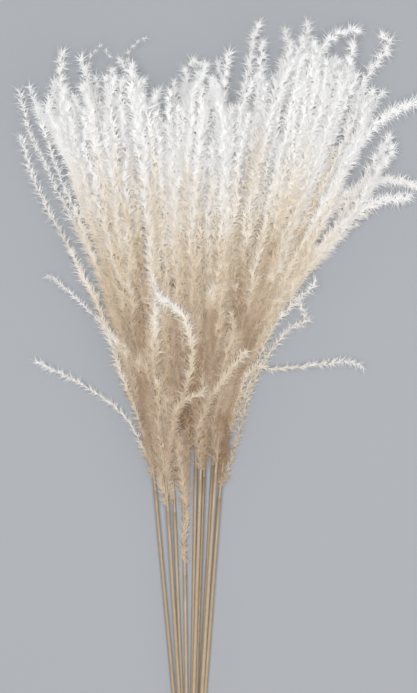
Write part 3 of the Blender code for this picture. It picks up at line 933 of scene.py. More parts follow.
# %% Kinds of tuft
# How many hairs, how far they open and how far the spikelet leans off the raceme in degrees,
# then in millimetres how long its own stalk is, how far along the raceme the hairs' roots
# are strewn, the shortest and the longest hair, and a hair's radius. Real hair is ten times
# finer and ten times denser.
Kind = namedtuple("Kind", "hairs opening lean stand strewn shortest longest radius")
DEGREE = math.radians(1.0)


def tuft_kind(hairs, opening, lean, *lengths):
    """A kind of tuft, from degrees and millimetres."""
    return Kind(hairs, opening * DEGREE, lean * DEGREE, *(length * MM for length in lengths))


KINDS = (
    tuft_kind(20, 54, 26, 0.0, 3.4, 5.4, 9.4, 0.27),
    tuft_kind(19, 66, 32, 0.8, 2.8, 5.4, 9.2, 0.26),
    tuft_kind(18, 82, 34, 1.2, 2.2, 4.8, 8.8, 0.24),
)
INNER_KIND = tuft_kind(8, 60, 26, 0.0, 3.0, 6.0, 9.4, 0.56)
THIN_SHARE = 0.42
THIN_KINDS = [kind._replace(hairs=round(THIN_SHARE * kind.hairs)) for kind in KINDS]

# %% The parts of a tuft
HAIR_SLOT, SCALE_SLOT, STALK_SLOT, STRAW_SLOT = range(4)
PLUME_FINISHES = (HAIR, SCALE, STALK, STRAW)
AWN_LENGTH = 6.5 * MM
AWN_RADIUS = 0.14 * MM
AWN_FROM = 0.9
STAND_REACH = 1.5
AWN_OUTWARDS = (-0.2, 0.3)
AWN_SIDEWAYS = (-0.25, 0.25)
SCALE_LENGTH = 4.4 * MM
SCALE_RADIUS = 0.42 * MM
FIRST_HAIR = 0.7
TILT_SPREAD = (0.85, 1.15)
ROOT_SPREAD = 0.6


def add_needle(shape, root, direction, length, radius):
    """Three-sided needle from its root to a point."""
    turn = direction.to_track_quat("Z", "Y").to_matrix().to_4x4()
    place = Matrix.Translation(root + 0.5 * length * direction) @ turn
    bmesh.ops.create_cone(
        shape, cap_ends=True, cap_tris=False, segments=3,
        radius1=radius, radius2=0.0, depth=length, matrix=place,
    )


def add_spikelet(shape, kind, lean, chance):
    """The scale with its own short stalk, and the awn at its tip."""
    stretch = Matrix.Diagonal((SCALE_RADIUS, SCALE_RADIUS, 0.5 * SCALE_LENGTH, 1.0))
    middle = Matrix.Translation((0.0, 0.0, kind.stand + 0.5 * SCALE_LENGTH))
    bmesh.ops.create_uvsphere(
        shape, u_segments=3, v_segments=2, radius=1.0, matrix=lean @ middle @ stretch
    )
    if kind.stand > 0.0:
        foot = lean @ Vector((0.0, 0.0, kind.stand))
        add_needle(shape, Vector(), foot.normalized(), STAND_REACH * kind.stand, AWN_RADIUS)
    for face in shape.faces:
        face.material_index = SCALE_SLOT
    beside = Vector((chance.uniform(*AWN_OUTWARDS), chance.uniform(*AWN_SIDEWAYS), 1.0))
    tip = lean @ Vector((0.0, 0.0, kind.stand + AWN_FROM * SCALE_LENGTH))
    add_needle(shape, tip, (lean @ beside).normalized(), AWN_LENGTH, AWN_RADIUS)


def add_hairs(shape, kind, lean, chance):
    """Hairs round the spikelet's foot, the inner ones steep and the outer ones wide open."""
    start = chance.uniform(0.0, math.tau)
    foot = lean @ Vector((0.0, 0.0, kind.stand))
    for k in range(kind.hairs):
        around = start + GOLDEN_TURN * k
        ring = math.sqrt((k + FIRST_HAIR) / kind.hairs)
        tilt = kind.opening * ring * chance.uniform(*TILT_SPREAD)
        spread = Vector((math.cos(around), math.sin(around), 0.0)) * math.sin(tilt)
        direction = (lean @ (spread + Vector((0.0, 0.0, math.cos(tilt))))).normalized()
        length = chance.uniform(kind.shortest, kind.longest)
        place = foot + Vector((0.0, 0.0, kind.strewn * chance.uniform(-1.0, 1.0)))
        root = place + direction * kind.strewn * chance.uniform(0.0, ROOT_SPREAD)
        add_needle(shape, root, direction, length, kind.radius)


# %% Make the tufts
TUFT_SEED = 41
TUFT_VERSIONS = 7
TIP_GAIN = 0.2
Tuft = namedtuple("Tuft", "mesh coords gain")


def as_mesh(name, shape):
    """A mesh from a bmesh, which is freed."""
    mesh = bpy.data.meshes.new(name)
    shape.to_mesh(mesh)
    shape.free()
    return mesh


def make_tuft(kind, whole, chance):
    """A tuft, +Z up the raceme and +X away from its stalk; a whole one has its spikelet."""
    shape = bmesh.new()
    lean = Matrix.Rotation(kind.lean, 4, "Y")
    if whole:
        add_spikelet(shape, kind, lean, chance)
    add_hairs(shape, kind, lean, chance)
    mesh = as_mesh("tuft", shape)
    mesh.shade_smooth()
    mesh.attributes.new("whiteness", "FLOAT", "POINT")
    mesh.attributes.new("soft", "FLOAT_VECTOR", "POINT")
    coords = np.empty(3 * len(mesh.vertices))
    mesh.vertices.foreach_get("co", coords)
    coords = coords.reshape(-1, 3)
    gain = TIP_GAIN * (np.linalg.norm(coords, axis=1) / kind.longest - 0.5)
    return Tuft(mesh, coords, gain)


tuft_chance = random.Random(TUFT_SEED)
TUFTS, THIN_TUFTS = (
    [[make_tuft(kind, True, tuft_chance) for _ in range(TUFT_VERSIONS)] for kind in kinds]
    for kinds in (KINDS, THIN_KINDS)
)
INNER_TUFTS = [make_tuft(INNER_KIND, False, tuft_chance) for _ in range(TUFT_VERSIONS)]
ALL_TUFTS = (*TUFTS, *THIN_TUFTS, INNER_TUFTS)
print("faces in a tuft:", [len(row[0].mesh.polygons) for row in ALL_TUFTS])

# %% [markdown]
# ## Stalks
#
# A stalk is a tube with few sides. A flat grid rolled up along the course makes it in one
# go: each row of the grid becomes a ring, its two long edges are merged, and both ends are
# filled. The same roll makes the culms and the band later on.


# %% Tubes along a course
# The hint is a direction that no stalk starts along, so a first side can be made from it.
MERGE = 0.001 * MM
SIDE_HINT = (0.13, 0.21, 1.0)


def ring_frames(centres):
    """A side, an up and an ahead direction for each centre, carried along without twisting."""
    ahead = np.gradient(centres, axis=0)
    ahead /= np.linalg.norm(ahead, axis=1)[:, None]
    side = np.cross(ahead[0], SIDE_HINT)
    frames = []
    for direction in ahead:
        side = side - direction * side.dot(direction)
        side /= np.linalg.norm(side)
        frames.append((side, np.cross(direction, side), direction))
    return frames


def rolled_grid(corners, steps, place_of):
    """A grid rolled up into rings, each corner of a ring at the place that a function gives."""
    shape = bmesh.new()
    bmesh.ops.create_grid(shape, x_segments=corners, y_segments=steps, size=1.0)
    for index, vert in enumerate(shape.verts):
        ring, corner = divmod(index, corners + 1)
        vert.co = place_of(ring, corner % corners)
    bmesh.ops.remove_doubles(shape, verts=shape.verts, dist=MERGE)
    return shape


def tube(centres, radii, sides):
    """Closed tube with one ring for each centre and a cap on both ends."""
    frames = ring_frames(centres)

    def place_of(ring, corner):
        side, up, _ = frames[ring]
        angle = math.tau * corner / sides
        offset = side * math.cos(angle) + up * math.sin(angle)
        return Vector(centres[ring] + radii[ring] * offset)

    shape = rolled_grid(sides, len(centres) - 1, place_of)
    ends = [edge for edge in shape.edges if edge.is_boundary]
    bmesh.ops.holes_fill(shape, edges=ends, sides=sides)
    bmesh.ops.recalc_face_normals(shape, faces=shape.faces)
    return shape


def add_stalk(plume, centres, radii, sides, finish, attribute, values):
    """Add a stalk to a plume's bmesh, with one value of its attribute for each ring."""
    shape = tube(centres, radii, sides)
    layer = shape.verts.layers.float.new(attribute)
    for vert in shape.verts:
        nearest = np.argmin(np.linalg.norm(centres - np.array(vert.co), axis=1))
        vert[layer] = values[nearest]
    for face in shape.faces:
        face.material_index = finish
        face.smooth = True
    mesh = as_mesh("stalk", shape)
    plume.from_mesh(mesh)
    bpy.data.meshes.remove(mesh)


# %% [markdown]
# ## Looks
#
# Most racemes are as full and as white as the plume round them. Those that the picture shows
# on their own each have a look: thin ones at the left edge, a few nearly bare twigs in the
# crest, curled ones in front, open stars at the lower right and thick white ones above them.
# Inside the fan some are barer and tan, which gives the thin darker lines between the rest.

# %% How racemes look
# How full a raceme is, how much whiter and more open than its neighbours, how far apart its
# spikelets and how thick its stalk are against theirs, whether its tufts are thin, and from
# which share of its length it looks so. Nearer its root it is as plain as the rest.
Look = namedtuple("Look", "fullness tone openness spacing stalk thin start")
PLAIN_LOOK = Look(1.0, 0.0, 0.0, 1.0, 1.0, False, 0.0)
TAN_LOOK = PLAIN_LOOK._replace(fullness=0.75, tone=-0.16, spacing=1.1)
TAN_SHARE = 0.14
TAN_SHELTER = 0.35
EDGE_LOOK = Look(0.9, 0.12, 0.3, 0.8, 1.2, True, 0.68)
LONE_LOOK = Look(0.72, 0.18, 0.0, 0.8, 1.5, True, 0.35)
STAR_LOOK = Look(0.92, 0.18, 0.55, 0.66, 1.3, True, 0.1)
TWIG_LOOK = Look(0.5, -0.05, 0.1, 1.2, 1.7, True, 0.0)
CURLED_LOOK = PLAIN_LOOK._replace(fullness=0.97, tone=0.1, spacing=0.7)
THICK_LOOK = PLAIN_LOOK._replace(fullness=1.1, tone=0.1, openness=0.1, spacing=0.73)
ROUTE_LOOKS = {
    **dict.fromkeys((0, 1, 2), EDGE_LOOK),
    3: LONE_LOOK._replace(tone=0.3, start=0.55),
    4: LONE_LOOK._replace(fullness=0.86, tone=0.36, start=0.2),
    **dict.fromkeys((5, 8), TWIG_LOOK),
    **dict.fromkeys((6, 7, 11), CURLED_LOOK),
    9: PLAIN_LOOK._replace(tone=0.12, spacing=0.8),
    **dict.fromkeys((14, 15), STAR_LOOK),
    16: LONE_LOOK._replace(fullness=0.8, tone=0.26, spacing=0.66, start=0.2),
    **dict.fromkeys((17, 18, 19), THICK_LOOK),
}
LOOKS = {f"route {number}": look for number, look in ROUTE_LOOKS.items()}


def raceme_look(raceme, chance):
    """A few racemes inside the fan are barer and tan, and those that stand out have their own."""
    if raceme.kind in ("main", "fill") and raceme.shelter.mean() > TAN_SHELTER:
        if chance.random() < TAN_SHARE:
            return TAN_LOOK
    return LOOKS.get(raceme.kind, PLAIN_LOOK)


print(len(LOOKS), "racemes with a look of their own")

# %% [markdown]
# ## Streaks
#
# The fan has broad soft streaks: golden where the outer hair parts, and pale where it lies
# thick. The darkest few are painted shade: shadow beneath the curled racemes, and a dark gap.
# Each is a line between two pixels with a half width in pixels. It changes the tone of the
# spikelets near it, and that change fades out evenly to both sides.

# %% Streaks of tone, some of them painted shade
Streak = namedtuple("Streak", "start end width tone")
STREAKS_WITH_SHADE = (
    Streak((143, 245), (139, 350), 6, -0.07),
    Streak((137, 315), (138, 350), 5, -0.1),
    Streak((145, 378), (147, 468), 4, -0.14),
    Streak((116, 344), (146, 371), 5, 0.14),
    Streak((156, 381), (172, 408), 5, 0.14),
    Streak((70, 255), (102, 322), 5, 0.14),
    Streak((106, 335), (128, 392), 7, 0.26),
    Streak((133, 408), (148, 478), 7, 0.3),
    Streak((221, 245), (222, 285), 3, -0.12),
    Streak((247, 268), (238, 330), 6, -0.16),
    Streak((239, 300), (247, 355), 5, -0.12),
    Streak((268, 250), (258, 290), 5, -0.14),
    Streak((260, 310), (240, 370), 9, -0.1),
    Streak((211, 318), (204, 372), 6, -0.24),
    # Painted shade: this streak and the next are shadow beneath the curled racemes, and the one
    # after darkens a gap.
    Streak((197, 350), (193, 392), 5, -0.16),
    Streak((187, 404), (182, 430), 5, -0.36),
    Streak((224, 420), (222, 480), 3, -0.26),
    Streak((175, 320), (174, 385), 7, -0.08),
    Streak((155, 255), (157, 360), 5, 0.12),
    Streak((205, 150), (204, 255), 10, 0.08),
    Streak((246, 175), (246, 240), 6, 0.08),
    Streak((268, 185), (265, 245), 7, -0.06),
    Streak((350, 225), (312, 278), 9, 0.08),
    Streak((300, 292), (262, 330), 8, 0.06),
    Streak((163, 405), (167, 500), 6, 0.24),
    Streak((176, 440), (177, 500), 6, 0.14),
)


def streak_tone_and_shade(points):
    """How much the streaks change the tone at some points."""
    tone = np.zeros(len(points))
    for streak in STREAKS_WITH_SHADE:
        start, end = np.array(flat_place(*streak.start)), np.array(flat_place(*streak.end))
        run = end - start
        share = np.clip((points[:, :2] - start) @ run / run.dot(run), 0.0, 1.0)
        apart = np.linalg.norm(points[:, :2] - start - share[:, None] * run, axis=1)
        tone += streak.tone * np.exp(-((apart / (streak.width * PIXEL)) ** 2))
    return tone


# %% [markdown]
# ## Dressing a raceme
#
# A real stalk waves a little and curls at its tip. Spikelets sit on two sides of it in turn,
# in close pairs. Near the root they are small and closed, and towards the tip they are large
# and open. Whiteness rises both along the raceme and with the height in the fan. The rise with
# height is partly painted light and shade, and the tan deep inside the fan is painted shade.

# %% Waves of the stalk, and the spikelets' places along it
WAVE = 1.1 * MM
WAVE_LENGTH = 46.0 * MM
WAVE_SPREAD = (0.7, 1.4)
CURL = 7.0 * MM
CURL_LENGTH = 32.0 * MM
CURL_SIDEWAYS = (-1.0, 1.0)
CURL_UPWARDS = (-0.8, 0.3)
PAIR_STEP = 6.3 * MM
PAIR_GAP = 1.4 * MM
PAIR_JITTER = 0.12
STEP_GROWTH = -0.2
BARE_STALK = 5.0 * MM


def wavy(course, calm, chance):
    """The course with the slight waves of a real stalk, none at its root."""
    along = lengths_along(course)
    grown = np.clip(along / ROOT_FREE, 0.0, 1.0)
    waved = course.copy()
    for axis in (0, 2):
        phase = chance.uniform(0.0, math.tau)
        length = WAVE_LENGTH * chance.uniform(*WAVE_SPREAD)
        waved[:, axis] += calm * WAVE * grown * np.sin(math.tau * along / length + phase)
    curl = np.clip(1.0 - (along[-1] - along) / CURL_LENGTH, 0.0, 1.0) ** 2
    waved[:, 0] += calm * CURL * chance.uniform(*CURL_SIDEWAYS) * curl
    waved[:, 2] += calm * CURL * chance.uniform(*CURL_UPWARDS) * curl
    return waved


def spikelet_stops(whole, look, chance):
    """Distances of the spikelets along a raceme, in pairs."""
    dressed = whole - BARE_STALK - PAIR_GAP
    count = max(2, round(dressed / (look.spacing * PAIR_STEP)))
    steps = np.linspace(0.0, 1.0, count)
    steps[1:-1] += [chance.gauss(0.0, PAIR_JITTER / count) for _ in steps[1:-1]]
    pairs = BARE_STALK + dressed * (steps + STEP_GROWTH * steps**2) / (1.0 + STEP_GROWTH)
    return np.column_stack((pairs, pairs + PAIR_GAP)).ravel()


# %% How white, open and large the spikelets are
# FOOT values hold at the plumes' foot, and HEAD values are what the fan's head adds to them.
FAN_FOOT_Y = row_y(460.0)
FAN_HEAD_Y = row_y(110.0)
# Whiteness rising from the foot to the head is partly real bleaching and partly painted light and
# shade.
FOOT_WHITE = 0.33
HEAD_WHITE = 0.48
TIP_WHITE = 0.25
# Painted shade: this value darkens hairs deep inside the fan towards tan.
INSIDE_PAINTED_SHADE = 0.08
TIP_SHOWN = 30.0 * MM
HEAD_OPEN = 0.38
TIP_OPEN = 0.6
FOOT_SIZE = 0.88
HEAD_SIZE = 0.17
LOW_CALM = 0.4
TIP_WHITE_LOW = 0.5
LOOK_EASE = 0.6
# Painted shade: how much the inside darkening fades towards the fan's head.
INSIDE_SHADE_EASE = 0.7
LOOK_FADE = 0.12
Dress = namedtuple("Dress", "points white opened size own hidden")


def rise_share(y):
    """0 at the plumes' foot and 1 from the head of the fan upwards."""
    return np.clip((y - FAN_FOOT_Y) / (FAN_HEAD_Y - FAN_FOOT_Y), 0.0, 1.0)


def plan_dress(raceme, course, look, own_tone, chance):
    """The spikelets of a raceme: their places, and how each of them looks."""
    along = lengths_along(course)
    whole = along[-1]
    stops = spikelet_stops(whole, look, chance)
    points = read_course(course, stops)
    share = stops / whole
    rise = rise_share(points[:, 1])
    shown = np.clip((whole - stops) / TIP_SHOWN, 0.0, 1.0)
    hidden = np.interp(stops, along, raceme.shelter) * shown
    own = np.clip((share - look.start) / LOOK_FADE + 1.0, 0.0, 1.0)
    streaked = (1.0 - own) if raceme.kind.startswith("route") else 1.0
    # Painted shade: spikelets deep inside the fan are darkened towards tan.
    painted_inside_shade = INSIDE_PAINTED_SHADE * hidden * (1.0 - INSIDE_SHADE_EASE * rise)
    tone = own * look.tone * (1.0 - LOOK_EASE * rise) - painted_inside_shade
    # Streaks add tone, and their darkest ones add painted shade.
    tone += own_tone + streak_tone_and_shade(points) * streaked
    calm = LOW_CALM if raceme.kind == "low" else 1.0
    risen = TIP_WHITE_LOW + (1.0 - TIP_WHITE_LOW) * rise
    tip_white = calm * TIP_WHITE * share**2 * risen
    # Whiteness rising with height in the fan is partly real bleaching and partly painted light and
    # shade.
    white = np.clip(FOOT_WHITE + HEAD_WHITE * rise + tip_white + tone, 0.0, 1.0)
    opened = HEAD_OPEN * rise + calm * TIP_OPEN * share**3 + own * look.openness
    size = (1.0 + own * (look.fullness - 1.0)) * (FOOT_SIZE + HEAD_SIZE * rise)
    return Dress(points, white, np.clip(opened, 0.0, 1.0), size, own, hidden)


# %% [markdown]
# ### Placing the tufts
#
# Each tuft is a copy of one of the versions, turned and scaled to its place on the stalk.
# Closed tufts scatter freely round the stalk, and open ones keep to its two sides.
#
# Light goes through real hair and scatters in it, so a plume looks soft and evenly bright.
# Solid needles can't do that. So each hair carries a normal that points mostly upwards,
# tilted a little away from its raceme and from the plume's middle, and it is shaded like a
# piece of one soft surface.

# %% Dress one raceme
ROUTE_CALM = 0.35
RACEME_TONE = 0.03
TUFT_TONE = 0.02
STALK_RING_STEP = 13.0 * MM
STALK_FOOT_RADIUS = 0.42 * MM
STALK_TIP_RADIUS = 0.18 * MM
STALK_FOOT_WHITE = 0.3
STALK_HEAD_WHITE = 0.7
TWIST = 0.07
PAIR_ANGLE = 0.55
SCATTER_CLOSED = 1.3
SCATTER_OPEN = 0.35
KIND_SPREAD = (0.8, 1.2)
SIZE_SPREAD = (0.82, 1.15)
UPWARDS = np.array((0.0, 0.0, 1.0))
PLUME_CORE = 10.0 * MM
PLUME_ROUND = 0.22
RACEME_CORE = 6.0 * MM
RACEME_ROUND = 0.12


def away_from_middle(points, line):
    """Directions away from a plume's middle line, short for points close to it."""
    apart = points - line_at(line, points[:, 1])
    return apart / np.maximum(np.linalg.norm(apart, axis=1), PLUME_CORE)[:, None]


def add_raceme_stalk(plume, course, look):
    """The thin stalk of a raceme, straw coloured at its foot and pale at its tip."""
    whole = lengths_along(course)[-1]
    rings = np.linspace(0.0, whole, max(3, round(whole / STALK_RING_STEP) + 1))
    centres = read_course(course, rings)
    radii = np.linspace(STALK_FOOT_RADIUS, STALK_TIP_RADIUS, len(rings)) * look.stalk
    rise = rise_share(centres[:, 1])
    # Whiteness rising with height is partly real and partly painted light and shade, as on the
    # hairs.
    white = np.clip(STALK_FOOT_WHITE + STALK_HEAD_WHITE * rise + look.tone, 0.0, 1.0)
    add_stalk(plume, centres + SHIFT, radii, 3, STALK_SLOT, "whiteness", white)


def choose_tuft(look, opened, own, hidden, chance):
    """A tuft that is as open as its place asks for, and a plain one where no view reaches."""
    level = min(int(len(KINDS) * opened * chance.uniform(*KIND_SPREAD)), len(KINDS) - 1)
    thin = look.thin and chance.random() < own
    outer_tufts = (THIN_TUFTS if thin else TUFTS)[level]
    return chance.choice(INNER_TUFTS if chance.random() < hidden else outer_tufts)


def dress_raceme(plume, raceme, line, chance):
    """Add a raceme to a plume's bmesh, its stalk and its tufts, and count them."""
    calm = ROUTE_CALM if raceme.kind.startswith("route") else 1.0
    course = wavy(raceme.course, calm, chance)
    look = raceme_look(raceme, chance)
    own_tone = chance.gauss(0.0, RACEME_TONE)
    add_raceme_stalk(plume, course, look)
    points, white, opened, size, own, hidden = plan_dress(raceme, course, look, own_tone, chance)
    scatter = SCATTER_CLOSED + (SCATTER_OPEN - SCATTER_CLOSED) * opened
    outer = away_from_middle(points, line)
    phase = chance.uniform(0.0, math.tau)
    for k, (side, up, ahead) in enumerate(ring_frames(points)):
        side_angle = (math.pi + TWIST) * (k // 2) + PAIR_ANGLE * (2 * (k % 2) - 1)
        angle = phase + side_angle + chance.gauss(0.0, scatter[k])
        outward = side * math.cos(angle) + up * math.sin(angle)
        turn = np.column_stack((outward, np.cross(ahead, outward), ahead))
        tuft = choose_tuft(look, opened[k], own[k], hidden[k], chance)
        scale = size[k] * chance.uniform(*SIZE_SPREAD)
        reach = scale * tuft.coords @ turn.T
        tuft.mesh.vertices.foreach_set("co", (SHIFT + points[k] + reach).ravel())
        across = (reach - np.outer(reach @ ahead, ahead)) / RACEME_CORE
        soft = UPWARDS + PLUME_ROUND * outer[k] + RACEME_ROUND * across
        soft /= np.linalg.norm(soft, axis=1)[:, None]
        tuft.mesh.attributes["soft"].data.foreach_set("vector", soft.ravel())
        shade = np.clip(white[k] + tuft.gain + chance.gauss(0.0, TUFT_TONE), 0.0, 1.0)
        tuft.mesh.attributes["whiteness"].data.foreach_set("value", shade)
        plume.from_mesh(tuft.mesh)
    return len(points)


# %% [markdown]
# ## The ten plumes
#
# A plume is one piece: the axis, which goes on from the culm's top, and all its racemes. The
# stored directions become its normals at the end, and stalks keep the normals of their shape.

# %% Make the ten plumes
AXIS_SIDES = 7
AXIS_INTO_CULM = 3.0 * MM
AXIS_FOOT_RADIUS = 1.42 * MM
AXIS_TIP_RADIUS = 0.45 * MM
AXIS_RING_STEP = 16.0 * MM
DRESS_SEED = 61
STEM_TONE_SEED = 5
STEM_TONE_SPREAD = 0.22
tone_chance = random.Random(STEM_TONE_SEED)
STEM_TONES = [tone_chance.uniform(-STEM_TONE_SPREAD, STEM_TONE_SPREAD) for _ in STEMS]


def new_object(name, data):
    """An object in the scene for a mesh, a lamp or a camera."""
    made = bpy.data.objects.new(name, data)
    bpy.context.collection.objects.link(made)
    return made


def finished_piece(name, shape, materials, slot, *nodes):
    """A piece of the bundle from its bmesh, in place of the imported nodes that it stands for."""
    mesh = as_mesh(name, shape)
    for material in materials:
        mesh.materials.append(material)
    piece = new_object(name, mesh)
    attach(piece, BODY)
    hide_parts(*nodes)
    return piece


def soften(mesh):
    """Give hairs their stored directions as normals; a stalk has none and keeps its own."""
    stored = mesh.attributes["soft"]
    soft = np.empty(3 * len(mesh.vertices))
    stored.data.foreach_get("vector", soft)
    own = np.empty_like(soft)
    mesh.vertex_normals.foreach_get("vector", own)
    soft, own = soft.reshape(-1, 3), own.reshape(-1, 3)
    hairy = np.linalg.norm(soft, axis=1) > 0.5
    mesh.normals_split_custom_set_from_vertices(np.where(hairy[:, None], soft, own))
    mesh.attributes.remove(stored)


def make_plume(number, stem):
    """A whole plume: its axis and every raceme, dressed."""
    plume = bmesh.new()
    chance = random.Random(DRESS_SEED + number)
    course = axis_course(stem)
    whole = lengths_along(course)[-1]
    stops = np.linspace(0.0, whole, round(whole / AXIS_RING_STEP) + 1)
    foot = culm_point(stem, course[0, 1] - AXIS_INTO_CULM)
    centres = np.vstack((foot, read_course(course, stops)))
    radii = np.linspace(AXIS_FOOT_RADIUS, AXIS_TIP_RADIUS, len(centres))
    tones = np.full(len(centres), STEM_TONES[number])
    add_stalk(plume, centres + SHIFT, radii, AXIS_SIDES, STRAW_SLOT, "tone", tones)
    line = plume_line(stem)
    count = sum(dress_raceme(plume, s, line, chance) for s in racemes if s.stem == number)
    # Hairs that would go through the floor end on it.
    for vert in plume.verts:
        vert.co.z = max(vert.co.z, 0.0)
    name = f"plume_{number + 1:02d}"
    piece = finished_piece("dressed_" + name, plume, PLUME_FINISHES, "plume", name)
    soften(piece.data)
    print(name, count, "spikelets", len(piece.data.polygons), "faces")
    return piece


plumes = [make_plume(number, stem) for number, stem in enumerate(STEMS)]
print(f"plumes made after {time.perf_counter() - START:.1f} s")

# %% [markdown]
# ## Culms
#
# A culm is a straight straw tube with a satin skin and fine fibres along it. It has one
# joint near the cut, a low ring where a leaf once sat, and its cut end shows a hard rim round
# pale pith. The pith is the end face, inset by the thickness of the rim and pushed in.

# %% Make the ten culms
CULM_FINISHES = (STRAW, PITH)
CULM_SIDES = 14
CULM_JOINT_RADIUS = 2.0 * MM
CULM_JOINT_ABOVE_CUT = 62.0 * MM
CULM_JOINT_HALF = 2.5 * MM
CULM_JOINT_PROFILE = (
    (-1.0, 0.0), (-0.5, 0.35), (-0.15, 0.95), (0.1, 1.0), (0.3, 0.25), (1.0, 0.0),
)
CUT_TURN = 2.4
CULM_RING_STEP = 30.0 * MM
NECK_BEND = 4.0 * MM
RIM_THICKNESS = 0.45 * MM
PITH_EDGE = 0.1 * MM
PITH_DEPTH = 0.5 * MM
JOINT_TINT = 0.7
JOINT_TINT_REACH = 3.5 * MM


def culm_rings(number, stem):
    """Distances above the band and radii of a culm's rings, close together at its joint."""
    cut = -CUT_BELOW_BAND + CUT_STAGGER * math.sin(CUT_TURN * number)
    joint = cut + CULM_JOINT_ABOVE_CUT
    base_y = row_y(stem.base_v)
    rings = [(cut, CULM_CUT_RADIUS)]
    for place, swell in CULM_JOINT_PROFILE:
        radius = CULM_CUT_RADIUS + swell * (CULM_JOINT_RADIUS - CULM_CUT_RADIUS)
        rings.append((joint + place * CULM_JOINT_HALF, radius))
    rings.append((-NECK_BEND, CULM_CUT_RADIUS))
    for y in np.arange(NECK_BEND, base_y - 0.5 * CULM_RING_STEP, CULM_RING_STEP):
        rings.append((y, CULM_CUT_RADIUS + (CULM_TOP_RADIUS - CULM_CUT_RADIUS) * y / base_y))
    rings.append((base_y, CULM_TOP_RADIUS))
    return rings, joint


def make_culm(number, stem):
    """A culm with its joint, its cut end and its own tone."""
    rings, joint = culm_rings(number, stem)
    centres = np.array([culm_point(stem, y) for y, _ in rings]) + SHIFT
    shape = tube(centres, [radius for _, radius in rings], CULM_SIDES)
    cut_face = min(shape.faces, key=lambda face: face.calc_center_median().y)
    bmesh.ops.inset_individual(shape, faces=[cut_face], thickness=RIM_THICKNESS)
    bmesh.ops.inset_individual(shape, faces=[cut_face], thickness=PITH_EDGE, depth=-PITH_DEPTH)
    cut_face.material_index = CULM_FINISHES.index(PITH)
    tone_layer = shape.verts.layers.float.new("tone")
    joint_layer = shape.verts.layers.float.new("joint")
    for vert in shape.verts:
        vert[tone_layer] = STEM_TONES[number]
        off_joint = abs(vert.co.y - SHIFT[1] - joint)
        vert[joint_layer] = JOINT_TINT * max(0.0, 1.0 - off_joint / JOINT_TINT_REACH)
    for face in shape.faces:
        face.smooth = len(face.verts) == 4
    name = f"culm_{number + 1:02d}"
    return finished_piece("straw_" + name, shape, CULM_FINISHES, "culm", name)


culms = [make_culm(number, stem) for number, stem in enumerate(STEMS)]
print("faces in a culm:", len(culms[0].data.polygons))

# %% [markdown]
# ## The band
#
# An elastic band is wound twice round the neck, so two strands lie side by side, each
# rounded on its outer side. It hugs the culms, so it is flat across the top and rounded at
# the sides. A grid rolled up along its path and its profile makes it.

# %% Band
BAND_SEGMENTS = 96
BAND_PROFILE = 7
RUBBER_COLOUR = "#C79A62"
RUBBER_GRAIN = 1.5 * MM


def rubber_material():
    """Natural rubber: amber and dusty matt."""
    material, tree, shader = new_material("natural rubber band")
    place = add_node(tree, "ShaderNodeTexCoord").outputs["Object"]
    dust = add_node(
        tree, "ShaderNodeTexNoise", None, {"Vector": place, "Scale": 1.0 / RUBBER_GRAIN}
    )
    rough = add_node(
        tree, "ShaderNodeMapRange", None,
        {"Value": dust.outputs["Fac"], "To Min": 0.4, "To Max": 0.65},
    )
    feed(tree, shader, {
        "Base Color": linear(RUBBER_COLOUR),
        "Roughness": rough.outputs["Result"],
        "IOR": 1.52,
    })
    return material


def make_band():
    """A closed loop whose profile is two half-round strands, outer side out."""
    half = 0.5 * BAND_TURNS * BAND_WIDTH
    profile = [(BAND_INNER, -half), (BAND_INNER, half)]
    for turn in range(BAND_TURNS):
        middle = half - (turn + 0.5) * BAND_WIDTH
        for k in range(BAND_PROFILE):
            angle = math.pi * (k + 0.5) / BAND_PROFILE
            reach = BAND_INNER + BAND_THICKNESS * math.sin(angle)
            profile.append((reach, middle + 0.5 * BAND_WIDTH * math.cos(angle)))

    def place_of(ring, corner):
        reach, y = profile[corner]
        point = band_path(math.tau * (ring % BAND_SEGMENTS) / BAND_SEGMENTS, reach)
        return Vector((point[0], y, point[2])) + Vector(SHIFT)

    shape = rolled_grid(len(profile), BAND_SEGMENTS, place_of)
    bmesh.ops.recalc_face_normals(shape, faces=shape.faces)
    for face in shape.faces:
        face.smooth = True
    return finished_piece("elastic_band", shape, [rubber_material()], "band", "band")


band = make_band()
print("faces in the band:", len(band.data.polygons))

# %% [markdown]
# ## Floor, light and camera
#
# The bundle lies on a plain pale floor under soft studio light, and the camera looks straight
# down on it, as the picture shows it. The floor's paint is matt, so it shows the bundle's soft
# shadow and no glare.

# %% Floor
FLOOR_SIDE = 8.0
FLOOR_COLOUR = "#ACAFB4"


def make_floor():
    """A wide plain floor under the bundle, which isn't part of it."""
    material, tree, shader = new_material("plain pale floor paint")
    feed(tree, shader, {"Base Color": linear(FLOOR_COLOUR), "Roughness": 0.85})
    shape = bmesh.new()
    bmesh.ops.create_grid(shape, x_segments=1, y_segments=1, size=0.5 * FLOOR_SIDE)
    floor = new_object("floor", as_mesh("floor", shape))
    floor.data.materials.append(material)
    floor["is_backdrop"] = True
    return floor


make_floor()

# %% Light
Lamp = namedtuple("Lamp", "name place size power colour")
LAMPS = (
    Lamp("key", (-0.03, 0.11, 2.7), 0.35, 57.0, "#FFFFFF"),
    Lamp("fill", (0.9, -0.4, 2.2), 1.6, 4.3, "#FFF8F0"),
)
SKY_COLOUR = "#F2F5FA"
SKY_STRENGTH = 0.24


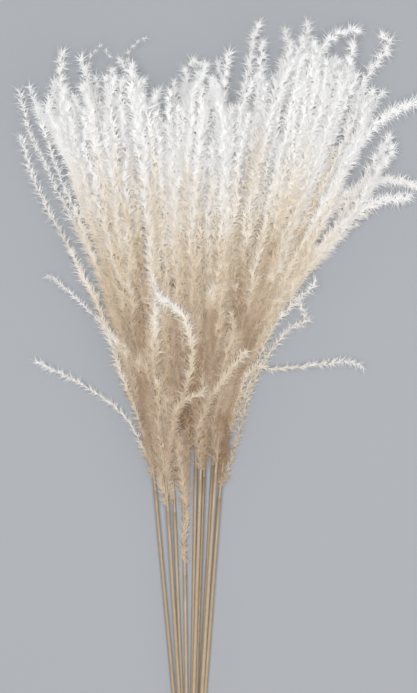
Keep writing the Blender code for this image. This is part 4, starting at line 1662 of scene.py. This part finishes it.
def add_lamp(lamp):
    """Square soft light that faces the bundle's middle."""
    data = bpy.data.lights.new(lamp.name, "AREA")
    data.size = lamp.size
    data.energy = lamp.power
    data.color = linear(lamp.colour)[:3]
    light = new_object(lamp.name, data)
    light.location = lamp.place
    light.rotation_euler = (-Vector(lamp.place)).to_track_quat("-Z", "Y").to_euler()
    return light


bpy.context.scene.view_settings.view_transform = "Standard"
lights = [add_lamp(lamp) for lamp in LAMPS]
world = bpy.data.worlds.new("soft studio")
world.use_nodes = True
sky = world.node_tree.nodes["Background"]
feed(world.node_tree, sky, {"Color": linear(SKY_COLOUR), "Strength": SKY_STRENGTH})
bpy.context.scene.world = world
print(len(lights), "lights and a soft sky")

# %% Camera
PHOTO_WIDTH = 417.0
PHOTO_HEIGHT = 693.0
CAMERA_HEIGHT = 2.6
SCALE_HEIGHT = 60.0 * MM
SENSOR = 36.0


def make_camera():
    """Camera straight above the middle of the picture, framed at the plumes' height."""
    middle_x, middle_y = flat_place(0.5 * PHOTO_WIDTH, 0.5 * PHOTO_HEIGHT)
    data = bpy.data.cameras.new("camera")
    data.sensor_width = SENSOR
    data.lens = SENSOR * (CAMERA_HEIGHT - SCALE_HEIGHT) / (PHOTO_HEIGHT * PIXEL)
    data.clip_start = 0.1
    data.clip_end = 50.0
    camera = new_object("camera", data)
    camera.location = (middle_x + SHIFT[0], middle_y + SHIFT[1], CAMERA_HEIGHT)
    bpy.context.scene.camera = camera
    return camera


print(f"camera lens {make_camera().data.lens:.1f} mm")

# %% [markdown]
#
# The hair and the racemes' curled tips stand a little proud of the imported solids, by at most
# 15 mm, and nothing else grows. The two boxes are printed side by side, the imported model's
# and the dressed one's. The tufts that were copied aren't needed any more.

# %% Print both boxes
for row in ALL_TUFTS:
    for tuft in row:
        bpy.data.meshes.remove(tuft.mesh)
visual_bounds = [list(corner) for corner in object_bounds()]
for name, corners in (("cad", cad_bounds), ("visual", visual_bounds)):
    print(name, "mm", [[round(value / MM, 1) for value in corner] for corner in corners])
print(f"whole script {time.perf_counter() - START:.1f} s")
